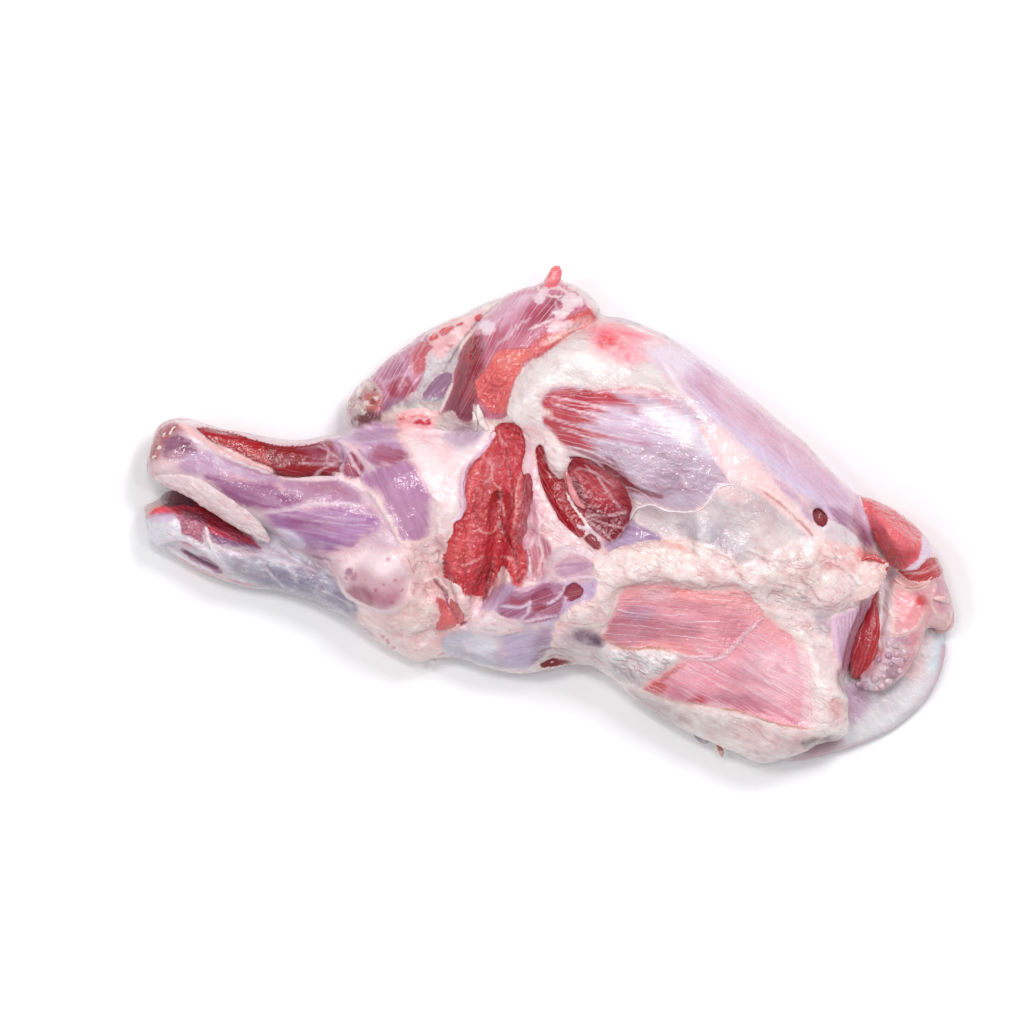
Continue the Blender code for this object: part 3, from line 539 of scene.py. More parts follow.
    # the mouth between the two ends, and the lower end
    p.tint([(-203.4, 4.1), (-201.4, 8.6), (-194.4, 10.6), (-188.4, 9.1), (-190.4, 5.1), (-199.4, 2.1)],
        (196, 164, 158), 0.95, 1.2, crag=0.5)
    p.muscle([(-201.4, 0.1), (-195.4, 3.6), (-186.4, 5.6), (-176.4, 5.1), (-164.4, 1.1), (-154.4, -5.9),
        (-146.4, -12.9), (-144.4, -17.4), (-154.4, -17.4), (-165.4, -13.9), (-172.4, -8.9), (-174.4, -14.9),
        (-183.4, -12.9), (-184.4, -1.9), (-191.9, 0.6), (-199.4, -0.9)], (200, 76, 98), (-25,), 0.6, 0.2,
        crag=0.5, sink=0.2, melt=0.6)
    p.stroke([(-200.4, 0.1), (-193.4, 3.6), (-183.4, 5.1), (-171.4, 3.1), (-160.4, -1.4), (-151.4, -7.4)],
        2.6, (232, 80, 92), 0.9, kind="bare")
    p.tint([(-184.4, 1.6), (-174.4, 1.6), (-171.4, -6.9), (-172.9, -14.9), (-182.9, -12.9)],
        (186, 130, 150), 0.8, 1.6, "lean", crag=1.0)
    p.tint([(-171.4, -7.9), (-158.4, -11.9), (-146.4, -14.4), (-145.4, -17.9), (-157.4, -16.9),
        (-168.4, -12.9)], (146, 118, 154), 0.9, 1.2, "lean")
    p.muscle([(-194.4, 12.1), (-184.4, 14.6), (-174.4, 9.1), (-161.4, 1.6), (-150.4, -8.4), (-153.4, -8.9),
        (-163.4, -2.4), (-174.4, 3.6), (-184.4, 5.6), (-191.9, 5.1)], (112, 70, 84), (-25,), 0.3, 0.0,
        sink=0.0, soft=0.5)
    p.tint([(-176.4, 8.6), (-163.4, 2.1), (-151.4, -7.9), (-156.4, -6.9), (-167.4, -0.4), (-175.4, 3.6)],
        (168, 24, 34), 0.95, 1.0, "lean")
    p.tint([(-192.9, 11.1), (-183.4, 12.1), (-181.4, 6.6), (-191.4, 5.1)], (126, 84, 92), 0.9, 1.4)
    p.skin([(-199.9, -3.9), (-195.4, -0.9), (-187.4, 0.1), (-184.9, -5.4), (-185.9, -10.4), (-194.4, -12.9),
        (-199.4, -11.9)], (224, 224, 232), rise=0.4, lump=0.3, soft=0.5)
    p.tint([(-199.9, 0.1), (-188.4, 1.6), (-186.4, -1.4), (-198.4, -3.4)], (206, 190, 216), 0.8, 1.2)
    p.stroke([(-194.4, -12.9), (-185.4, -10.4), (-176.4, -13.9), (-168.4, -19.9), (-158.4, -27.9)], 3.0,
        (228, 224, 232), kind="fat", rise=0.4)
    p.muscle([(-184.4, -16.4), (-176.4, -19.4), (-168.4, -22.9), (-163.4, -27.9), (-168.4, -27.9),
        (-176.4, -23.9)], (168, 116, 146), (-28,), 0.4, 0.0, sink=0.4, soft=0.5)
    p.stroke([(-182.4, -17.9), (-174.4, -22.4), (-165.9, -26.4)], 1.4, (84, 54, 78), 0.9, kind="bare",
        rise=-1.0)
    p.stroke([(-186.4, -19.9), (-174.4, -27.4), (-161.4, -31.4), (-146.4, -35.4)], 1.3, (206, 128, 142),
        0.9)
    p.stroke([(-190.4, -15.9), (-179.4, -22.9), (-168.4, -27.9)], 1.2, (238, 232, 236), 0.9)
    p.stroke([(-171.4, -5.4), (-170.4, -10.4), (-167.9, -16.9), (-163.9, -22.9), (-156.4, -29.9)], 1.6,
        (236, 230, 234), kind="fat", rise=0.8)
    p.tint([(-167.4, -17.9), (-154.4, -19.9), (-143.4, -22.9), (-143.4, -31.9), (-156.4, -29.9)],
        (184, 178, 190), 0.7, 2.0)
    p.tint([(-165.4, -14.9), (-146.4, -15.9), (-143.4, -19.9), (-158.4, -19.9)], (226, 214, 222), 0.7, 1.6)


def paint_neck(p):
    # lower flap
    p.muscle([(-99.4, 50.6), (-99.9, 59.1), (-91.4, 68.1), (-80.4, 78.1), (-68.4, 87.1), (-57.4, 94.1),
        (-49.4, 88.1), (-52.4, 72.1), (-62.4, 63.1), (-73.4, 55.6), (-85.4, 49.1)], (192, 118, 148), (62,),
        0.6, 0.7, film=0.15, sink=0.0, soft=1.0, melt=0.4)
    p.muscle([(-69.9, 82.1), (-64.4, 86.6), (-57.9, 88.1), (-56.4, 82.1), (-58.4, 77.1), (-62.4, 71.1),
        (-67.4, 69.1), (-69.4, 75.1)], (200, 106, 120), (60,), 0.4, 0.2, crag=0.3, sink=0.2)
    p.muscle([(-80.4, 64.1), (-76.4, 70.1), (-70.4, 69.1), (-67.9, 64.1), (-70.4, 60.1), (-77.4, 59.1)],
        (178, 88, 110), (62,), 0.5, 0.3, sink=0.2)
    p.tint([(-82.4, 72.1), (-76.4, 77.1), (-72.4, 75.1), (-76.4, 70.1), (-81.4, 68.1)], (182, 116, 140),
        0.8, 1.4, "lean")
    p.stroke([(-97.4, 60.1), (-84.4, 75.1), (-69.4, 87.6), (-59.4, 94.1)], 2.2, (170, 44, 60), 0.9,
        kind="bare")
    for path in ([(-74.4, 82.1), (-72.4, 72.1), (-75.4, 62.1)],
            [(-82.4, 66.1), (-72.4, 71.1), (-62.4, 69.1)], [(-86.4, 71.1), (-81.4, 62.1), (-82.4, 54.1)],
            [(-67.4, 87.1), (-69.4, 78.1), (-68.4, 70.1)]):
        p.stroke(path, 1.6, (220, 190, 206), 0.45, "lean", soft=1.0, ragged=(2.4, 4.0))
    p.skin([(-60.4, 82.1), (-52.4, 85.1), (-44.4, 82.1), (-47.4, 72.1), (-50.9, 62.1), (-56.4, 56.1),
        (-69.4, 53.1), (-80.4, 49.1), (-84.4, 51.1), (-73.4, 58.1), (-65.4, 64.1), (-62.4, 72.1)],
        (208, 200, 204), rise=0.2, lump=0.5)
    p.muscle([(-60.4, 65.1), (-55.4, 70.1), (-48.4, 71.6), (-50.4, 64.1), (-53.4, 58.6), (-59.4, 57.1),
        (-63.4, 59.1)], (156, 112, 140), (55,), 0.3, 0.1, film=0.3, sink=0.4)
    p.tint([(-82.4, 57.1), (-72.4, 60.1), (-66.4, 57.1), (-76.4, 52.1), (-83.4, 51.1)], (150, 112, 134),
        0.7, 1.8)
    p.skin([(-99.4, 58.1), (-95.4, 64.1), (-90.4, 68.6), (-85.4, 65.1), (-83.4, 59.1), (-85.4, 53.1),
        (-92.4, 48.1), (-97.9, 48.1)], (204, 186, 184), rise=0.8, lump=1.0)
    p.tint([(-92.4, 61.1), (-84.4, 60.1), (-84.4, 53.1), (-90.4, 52.1)], (196, 104, 98), 0.8, 1.6,
        ragged=(2.4, 4.0))
    # dark red along the lower edge of the knob: painted shadow below it
    p.tint([(-98.4, 48.1), (-90.4, 52.6), (-84.4, 51.1), (-82.4, 48.1), (-93.4, 45.1), (-98.4, 44.6)],
        (112, 40, 46), 0.9, 1.6, ragged=(2.0, 4.0))
    for spot, size in (((-91.4, 53.1), 1.8), ((-87.9, 57.1), 2.2), ((-93.9, 58.6), 1.2),
            ((-86.4, 63.1), 1.4)):
        p.spot(spot, size, (150, 62, 64), 0.75)
    for spot, size in (((-90.9, 56.1), 2.0), ((-94.4, 62.6), 2.4), ((-89.9, 65.1), 2.0),
            ((-95.4, 54.6), 1.8)):
        p.spot(spot, size, (238, 226, 220), 0.8, rise=0.6)
    p.spot((-96.4, 46.6), 1.6, (236, 218, 210), 0.7)
    p.skin([(-82.4, 49.6), (-72.4, 53.6), (-60.4, 56.1), (-54.4, 54.1), (-55.4, 50.1), (-72.4, 49.1),
        (-80.4, 46.6)], (222, 206, 200), rise=0.4, lump=0.5)
    p.tint([(-72.4, 56.1), (-54.4, 59.1), (-52.4, 53.1), (-64.4, 51.1)], (176, 174, 176), 0.7, 2.0)
    p.skin([(-60.4, 90.1), (-53.4, 96.1), (-43.4, 99.6), (-34.4, 102.6), (-32.4, 99.6), (-40.4, 93.1),
        (-48.4, 86.1), (-54.4, 80.1), (-57.4, 84.1)], (238, 196, 198), rise=0.5, lump=0.6)
    for (x, y), size in (((-50.9, 93.6), 3.0), ((-49.4, 94.1), 2.0), ((-44.4, 95.6), 1.4),
            ((-33.4, 99.6), 2.4), ((-31.9, 99.6), 1.6), ((-57.4, 89.1), 1.6)):
        p.stroke([(x - size * 0.6, y - size * 0.3), (x + size * 0.6, y + size * 0.3)], size * 1.7,
            (214, 0, 8), kind="bare", taper=0, on_top=True)
    p.stroke([(-60.4, 91.6), (-54.4, 97.1), (-43.4, 101.1), (-32.4, 106.1), (-22.4, 108.6)], 2.4,
        (214, 208, 206), kind="fat")
    p.skin([(-75.4, 47.6), (-72.4, 51.1), (-64.4, 52.6), (-55.4, 50.6), (-54.4, 46.1), (-64.4, 44.1),
        (-72.4, 44.1)], (246, 196, 198), rise=0.7, lump=0.6)
    p.stroke([(-67.4, 46.6), (-64.4, 47.6), (-61.4, 46.1), (-59.4, 48.1)], 1.8, (206, 10, 30), 0.95,
        kind="bare", ragged=(1.6, 3.0))
    p.stroke([(-70.4, 49.6), (-65.4, 50.1), (-61.4, 49.6)], 1.4, (228, 96, 100), 0.7, ragged=(1.6, 3.0))
    p.stroke([(-74.4, 48.6), (-71.9, 49.1)], 1.4, (226, 80, 84), 0.7)
    # upper flap
    p.muscle([(-54.9, 51.1), (-49.4, 62.1), (-46.4, 75.1), (-42.4, 85.1), (-34.4, 96.1), (-23.4, 108.1),
        (-13.4, 113.6), (-1.9, 116.1), (5.6, 116.6), (14.1, 111.6), (20.6, 103.1), (22.6, 97.1),
        (11.6, 91.1), (-0.4, 82.1), (-8.4, 76.1), (-14.4, 67.1), (-18.4, 58.1), (-17.4, 52.1),
        (-26.4, 48.1), (-35.4, 50.1), (-42.4, 46.1)], (206, 122, 146), (-59.4, 23.1, 90.0), 0.6, 0.6,
        film=0.2, sink=0.0, soft=0.8, melt=0.3)
    p.tint([(-52.4, 52.1), (-47.4, 68.1), (-43.4, 82.1), (-35.4, 82.1), (-31.4, 71.1), (-35.4, 60.1),
        (-37.4, 49.1), (-44.4, 47.1)], (150, 8, 46), 0.95, 3.4, "lean", film=0.0)
    p.lines *= 1 - 0.65 * smooth_step(p.depth([(-54.4, 51.1), (-47.4, 70.1), (-41.4, 90.1), (-31.4, 91.1),
        (-30.4, 71.1), (-35.4, 48.1)]), -2, 3)
    p.tint([(-52.4, 52.1), (-49.4, 60.1), (-41.4, 58.1), (-36.4, 56.1), (-37.4, 48.1), (-46.4, 48.1)],
        (130, 66, 92), 0.5, 2.0, "lean")
    p.tint([(-43.4, 86.6), (-39.4, 91.1), (-32.9, 90.1), (-34.4, 85.1), (-32.4, 82.1), (-39.4, 76.6),
        (-44.4, 80.1), (-42.4, 83.1)], (164, 40, 56), 0.95, 1.0, "lean", film=0.0, crag=0.6,
        ragged=(2.4, 4.0))
    p.stroke([(-39.4, 87.1), (-36.9, 83.6), (-38.4, 78.1)], 1.4, (116, 24, 42), 0.7, "lean", rise=-0.3,
        ragged=(1.6, 3.0))
    p.tint([(-34.4, 90.1), (-31.4, 86.1), (-33.4, 81.1), (-35.9, 85.1)], (132, 44, 80), 0.6, 1.6, "lean",
        ragged=(2.0, 4.0))
    p.muscle([(-36.4, 62.1), (-35.9, 68.1), (-32.4, 73.1), (-29.4, 77.6), (-27.4, 81.6), (-20.4, 83.6),
        (-13.4, 83.6), (-8.4, 87.1), (-1.4, 91.6), (6.6, 95.6), (13.6, 101.1), (20.6, 104.1), (24.1, 99.1),
        (16.6, 93.6), (4.6, 87.6), (-2.4, 81.6), (-9.4, 78.6), (-13.9, 73.6), (-16.9, 67.1), (-19.4, 61.1),
        (-20.4, 55.1), (-24.4, 51.1), (-29.4, 52.1), (-33.4, 57.1)], (226, 112, 110), (58,), 0.5, 0.15,
        crag=0.7, sink=-0.3, ragged=(2.0, 4.0), melt=0.4)
    p.tint([(-26.4, 80.1), (-14.4, 82.6), (-9.4, 81.1), (-15.4, 75.1), (-22.4, 73.1)], (234, 142, 134), 0.8,
        2.4, "lean")
    p.tint([(-33.4, 60.1), (-32.4, 70.1), (-26.4, 72.1), (-24.4, 64.1), (-27.4, 55.1)], (214, 92, 96), 0.7,
        2.4, "lean")
    p.tint([(-1.4, 89.1), (8.6, 95.1), (18.6, 100.1), (20.6, 97.1), (6.6, 89.1)], (248, 202, 198), 0.8, 1.6,
        "lean")
    p.tint([(-4.4, 85.1), (5.6, 93.1), (15.6, 97.1), (18.6, 94.1), (5.6, 87.1)], (246, 202, 198), 0.8, 1.6,
        "lean")
    p.stroke([(-10.4, 83.1), (-4.4, 79.6), (-0.4, 83.1), (8.6, 90.1), (21.6, 96.1)], 1.4, (206, 80, 76),
        0.8, "lean")
    p.tint([(-1.9, 108.1), (5.6, 111.1), (8.6, 107.1), (1.6, 105.1)], (160, 50, 76), 0.85, 2.0, "lean",
        ragged=(2.4, 4.0))
    p.tint([(-4.4, 104.1), (1.6, 105.1), (3.6, 100.1), (-4.4, 98.1)], (172, 64, 88), 0.8, 2.2, "lean",
        ragged=(2.4, 4.0))
    p.tint([(-28.4, 104.1), (-14.4, 111.1), (-4.4, 113.1), (-9.4, 106.1), (-24.4, 93.1)], (222, 180, 198),
        0.6, 3.0, "lean", film=0.5)
    p.tint([(-14.4, 102.1), (-6.4, 106.1), (-4.4, 99.1), (-11.4, 92.1), (-18.4, 91.1)], (178, 72, 96), 0.6,
        2.6, "lean", ragged=(2.6, 5.0))
    p.tint([(-30.4, 89.1), (-22.4, 95.1), (-20.4, 88.1), (-28.4, 82.1)], (176, 72, 96), 0.5, 2.6, "lean",
        ragged=(2.6, 5.0))
    p.skin([(5.6, 108.1), (10.6, 111.1), (16.6, 109.6), (17.6, 105.1), (12.6, 105.1), (10.6, 101.1),
        (5.6, 98.6), (1.6, 102.1), (7.1, 104.6)], (240, 226, 230), rise=0.4, lump=0.6, ragged=(2.6, 3.6))
    p.skin([(-35.4, 96.1), (-30.4, 98.1), (-26.4, 94.1), (-30.4, 91.1), (-34.4, 93.1)], (234, 214, 224),
        rise=0.3, lump=0.3, melt=0.8, ragged=(2.0, 3.6))
    p.skin([(-0.4, 96.1), (5.6, 98.1), (12.6, 97.1), (14.6, 94.6), (6.6, 93.1), (0.6, 91.1)],
        (240, 208, 214), rise=0.3, lump=0.3, melt=0.5, ragged=(2.4, 3.6))
    p.skin([(-7.4, 109.1), (-3.9, 113.1), (-0.9, 115.6), (-1.4, 110.1), (-4.4, 105.6)], (236, 214, 224),
        rise=0.3, lump=0.3, melt=0.6, ragged=(2.0, 3.6))
    for path in ([(-29.4, 95.1), (-24.4, 99.1), (-18.4, 102.1)],
            [(-21.4, 88.1), (-15.4, 95.1), (-9.4, 99.1)], [(-39.4, 93.1), (-34.4, 96.1), (-28.4, 96.1)],
            [(-0.4, 100.1), (3.6, 104.1), (4.6, 108.1)], [(-14.4, 108.1), (-9.4, 110.1), (-4.4, 108.1)],
            [(-26.4, 85.1), (-21.4, 90.1), (-18.4, 95.1)]):
        p.stroke(path, 1.2, (232, 200, 214), 0.6, "lean", ragged=(2.0, 3.0))
    for path in ([(-6.4, 110.1), (-1.4, 113.1), (3.6, 114.1)], [(-6.4, 115.1), (-0.4, 110.1), (6.6, 110.1)],
            [(3.6, 115.1), (8.6, 112.1), (14.6, 109.1)], [(-10.4, 93.1), (-1.4, 97.1), (5.6, 99.1)]):
        p.stroke(path, 0.9, (238, 214, 222), 0.7, kind="fat", ragged=(1.4, 3.0))
    p.tint([(-2.4, 116.6), (-0.9, 122.1), (3.6, 124.6), (6.1, 121.1), (5.1, 115.6)], (234, 118, 126), 1.0,
        1.0)
    p.spot((3.1, 118.6), 1.2, (196, 30, 44), 0.8)
    # thin dark line where the two flaps meet: a painted shadow along the edge
    p.stroke([(-52.4, 72.1), (-46.4, 83.1), (-39.4, 93.1), (-31.4, 101.6), (-23.4, 108.1)], 1.0,
        (96, 60, 70), 0.6)
    p.stroke([(-48.4, 66.1), (-51.4, 59.1), (-54.4, 52.1)], 1.6, (236, 222, 218), 0.8, kind="fat", rise=0.5)
    p.skin([(-54.4, 50.1), (-48.4, 53.1), (-44.4, 48.1), (-37.4, 46.1), (-37.4, 43.1), (-50.4, 42.1),
        (-55.4, 45.1)], (208, 198, 194), rise=0.3, lump=0.9)
    p.skin([(-37.4, 56.1), (-35.4, 52.1), (-33.4, 46.1), (-34.4, 43.1), (-37.4, 46.1)], (240, 228, 222),
        rise=0.6, lump=0.3)
    p.skin([(9.6, 114.1), (12.6, 116.1), (20.6, 111.1), (27.6, 104.1), (37.6, 100.1), (45.6, 96.1),
        (30.6, 97.1), (23.6, 99.1), (19.6, 106.1), (14.6, 111.1)], (226, 206, 206), rise=0.2, lump=0.3)


def paint_joint(p):
    p.skin([(-20.9, 51.1), (-19.4, 59.1), (-16.9, 66.6), (-13.9, 72.6), (-9.4, 77.6), (-1.9, 81.1),
        (5.6, 86.6), (15.6, 92.1), (25.6, 97.1), (45.6, 94.1), (67.6, 82.1), (77.6, 68.1), (75.6, 56.1),
        (61.6, 62.1), (45.6, 65.6), (25.6, 65.1), (5.6, 64.6), (-1.4, 61.1), (-5.4, 53.1), (-2.4, 42.1),
        (-14.4, 44.1), (-18.4, 48.1)], WHITE_FAT, rise=0.4, lump=0.35)
    p.tint([(-17.4, 55.6), (-12.4, 66.1), (-1.4, 66.1), (-4.4, 53.1)], (226, 214, 214), 0.7, 3.0)
    p.tint([(5.6, 80.1), (25.6, 83.1), (45.6, 78.1), (25.6, 72.1)], (246, 242, 240), 0.7, 4.0)
    p.tint([(20.6, 95.1), (50.6, 93.1), (65.6, 85.1), (45.6, 77.1), (25.6, 78.1)], (250, 184, 194), 0.95,
        5.0)
    p.spot((31.1, 89.1), 13.0, (236, 64, 88), 0.95, hard=0.0)
    p.spot((27.6, 86.1), 5.0, (232, 70, 92), 0.7, hard=0.0)
    p.stroke([(27.6, 92.1), (38.1, 92.6), (51.6, 89.6)], 6.0, (246, 128, 144), 0.85, soft=2.4)
    p.stroke([(34.6, 88.1), (38.6, 83.1), (39.6, 78.1)], 2.4, (240, 150, 162), 0.6, soft=1.2)
    p.stroke([(24.6, 103.1), (40.6, 97.6), (55.6, 93.1), (71.6, 82.1)], 4.6, (206, 196, 204), 0.85,
        soft=1.4)
    p.stroke([(38.6, 95.1), (50.6, 91.1), (63.6, 86.6)], 1.0, (232, 232, 238), 0.8)
    # muscle under the blade
    p.muscle([(-1.4, 62.1), (5.6, 64.6), (25.6, 63.6), (45.6, 64.1), (63.6, 59.1), (75.6, 50.1),
        (83.6, 38.1), (95.6, 24.1), (96.6, 15.1), (87.6, 14.1), (81.6, 9.1), (70.6, 3.1), (55.6, 4.6),
        (43.6, 8.1), (34.6, 14.1), (25.6, 22.1), (14.6, 29.1), (5.6, 37.1), (-2.9, 48.1), (1.6, 51.1),
        (-3.9, 55.6)], (206, 180, 198), (-59.4, 60.1, 60.0), 0.7, 0.5, film=0.6, sink=0.4,
        ragged=(1.6, 5.0), melt=1.2)
    p.tint([(-1.4, 62.1), (8.6, 64.1), (28.6, 62.1), (40.6, 57.1), (25.6, 56.1), (30.6, 52.1), (15.6, 51.1),
        (25.6, 46.1), (13.6, 45.1), (27.6, 39.1), (15.6, 38.1), (24.6, 33.1), (12.6, 32.1), (3.6, 39.1),
        (-3.4, 50.1)], (194, 48, 64), 0.95, 1.6, "lean", film=0.0, ragged=(2.4, 7.0))
    for path, width in (([(5.6, 60.1), (35.6, 56.1), (55.6, 53.1)], 2.4),
            ([(5.6, 53.1), (30.6, 48.1), (48.6, 42.1)], 2.2),
            ([(5.6, 46.1), (28.6, 40.1), (50.6, 35.1)], 1.8),
            ([(8.6, 40.1), (25.6, 34.1), (45.6, 29.1)], 1.6),
            ([(20.6, 56.1), (45.6, 51.1), (65.6, 44.1)], 1.6)):
        p.stroke(path, width, (200, 80, 100), 0.75, "lean", soft=0.7, taper=0.4)
    p.stroke([(23.6, 63.1), (37.6, 64.1), (50.6, 62.1), (59.6, 57.1), (66.6, 48.1)], 5.0, (220, 132, 146),
        0.75, "lean", soft=2.0, taper=0.3)
    p.stroke([(33.6, 62.1), (45.6, 62.6), (51.6, 60.1)], 3.0, (248, 214, 212), 0.7, "lean", soft=1.2,
        taper=0.3)
    p.tint([(25.6, 50.1), (50.6, 50.1), (70.6, 40.1), (50.6, 36.1), (31.6, 41.1)], (226, 204, 224), 0.8,
        4.0, "lean", film=0.9)
    # a white film over the muscle, whitened further by a painted sheen highlight
    p.tint([(45.6, 54.1), (61.6, 54.1), (75.6, 44.1), (86.6, 32.1), (75.6, 32.1), (57.6, 43.1)], SILVERSKIN_AND_SHEEN, 0.9,
        3.6, "both", film=0.8)
    p.tint([(23.6, 35.1), (45.6, 34.1), (70.6, 30.1), (81.6, 20.1), (75.6, 10.1), (50.6, 13.1),
        (32.6, 21.1)], (206, 184, 200), 0.85, 3.6, "lean", crag=0.6)
    p.tint([(50.6, 27.1), (70.6, 28.1), (83.6, 18.1), (77.6, 5.1), (65.6, 4.1), (57.6, 13.1)],
        (198, 180, 198), 0.7, 3.6, "lean")
    p.tint([(8.6, 36.1), (24.6, 32.1), (40.6, 20.1), (49.6, 11.1), (38.6, 13.1), (24.6, 23.1)],
        (168, 90, 106), 0.75, 2.0, "lean")
    for path in ([(0.6, 60.1), (20.6, 56.1), (40.6, 52.1)], [(1.6, 56.1), (20.6, 51.1), (45.6, 43.1)],
            [(-0.4, 49.1), (20.6, 43.1), (45.6, 37.1)], [(5.6, 35.1), (20.6, 32.1), (31.6, 26.1)],
            [(10.6, 30.1), (20.6, 28.1), (28.6, 23.1)], [(25.6, 54.1), (50.6, 46.1), (70.6, 36.1)],
            [(5.6, 44.1), (25.6, 37.6), (45.6, 34.1)]):
        p.stroke(path, 0.8, (242, 222, 230), 0.9, "lean", taper=0.4, rise=0.2)
    # dark line along the lower edge of the muscle under the blade: painted shadow of that edge, sunk in
    p.stroke([(8.6, 29.1), (20.6, 27.1), (31.6, 18.1), (42.6, 13.1), (48.6, 10.1)], 1.6, (126, 36, 50), 0.8,
        kind="bare", rise=-1.0)
    p.stroke([(6.6, 33.1), (17.6, 29.1), (27.6, 23.1), (38.6, 15.1)], 1.0, (232, 220, 222), 0.7, kind="fat",
        rise=0.4)
    # band between the two blade muscles
    p.skin([(75.6, 46.1), (83.6, 44.1), (95.6, 35.1), (111.6, 21.1), (125.6, 8.1), (137.6, -7.9),
        (156.6, -15.9), (150.6, -24.9), (125.6, -19.9), (107.6, -3.9), (93.6, 12.1), (89.6, 18.1),
        (81.6, 31.1)], (247, 224, 226), rise=0.2, lump=0.2)
    p.tint([(95.6, 32.1), (111.6, 17.1), (125.6, 2.1), (120.6, -3.9), (105.6, 8.1), (93.6, 23.1)],
        (246, 210, 210), 0.7, 3.0)
    p.stroke([(107.6, 12.1), (118.6, 4.1), (128.6, -5.9), (133.6, -11.9)], 1.3, (206, 136, 130), 0.8,
        rise=-0.6)
    p.stroke([(103.6, 16.1), (115.6, 8.1), (125.6, -1.9)], 1.4, (252, 236, 232), 0.7, rise=0.3)
    p.muscle([(50.6, 83.1), (63.6, 85.1), (75.6, 79.1), (100.6, 59.6), (125.6, 37.1), (150.6, 13.6),
        (157.6, 5.1), (162.6, -12.9), (159.6, -15.9), (150.6, -6.9), (142.6, -2.9), (133.1, 3.1),
        (120.6, 13.1), (106.6, 26.1), (92.6, 39.6), (78.6, 51.1), (66.6, 63.1), (57.6, 72.1)],
        (222, 190, 212), (-43,), 0.6, 0.35, film=0.45, sink=-0.1, soft=1.0, melt=3.5)
    p.tint([(75.6, 72.1), (95.6, 60.1), (120.6, 40.1), (143.6, 19.1), (131.6, 22.1), (110.6, 35.1),
        (88.6, 49.1), (77.6, 62.1)], (221, 172, 190), 0.85, 4.0, "lean")
    p.tint([(75.6, 56.1), (95.6, 42.1), (118.6, 22.1), (140.6, 4.1), (125.6, 12.1), (100.6, 30.1),
        (83.6, 45.1)], (222, 212, 236), 0.8, 3.6, "lean")
    p.tint([(45.6, 85.1), (60.6, 85.1), (70.6, 77.1), (63.6, 68.1), (52.6, 75.1)], (238, 224, 232), 0.8,
        4.0)
    p.stroke([(57.6, 75.1), (66.6, 62.1), (75.6, 52.1), (82.6, 42.1)], 2.0, (246, 240, 246), 0.75, soft=1.2)
    for path in ([(59.6, 83.1), (75.6, 72.1), (89.6, 62.1)], [(70.6, 58.1), (83.6, 48.1), (100.6, 32.1)],
            [(105.6, 35.1), (109.6, 24.1), (115.6, 17.1)], [(117.6, 36.1), (120.6, 27.1), (125.6, 20.1)]):
        p.stroke(path, 0.7, (240, 226, 238), 0.6, "lean", taper=0.4)
    p.stroke([(113.6, 17.1), (123.6, 8.1), (131.6, -1.9)], 3.0, (186, 150, 196), 0.6, soft=1.4)
    p.tint([(139.6, 5.1), (150.6, 1.1), (159.6, -9.9), (160.6, -15.9), (151.6, -8.9), (143.6, -2.9)],
        (178, 128, 158), 0.85, 1.6, "lean", film=0.1)
    p.skin([(136.6, -5.9), (143.6, -3.4), (150.6, -7.9), (158.6, -15.9), (150.6, -15.9), (141.6, -10.9)],
        (234, 228, 232), rise=0.2, lump=0.2)
    p.muscle([(132.1, 2.1), (134.6, 3.6), (138.1, 1.1), (139.1, -2.4), (137.1, -4.9), (133.6, -2.9)],
        (152, 52, 58), (-45,), 0.5, 0.4, sink=1.4, soft=0.4, ragged=(0.4, 3.0))
    p.skin([(154.6, 11.1), (157.6, 8.1), (159.6, 2.1), (160.6, -2.9), (158.1, 2.1), (155.6, 6.6)],
        (236, 216, 216), rise=0.5, lump=0.3)


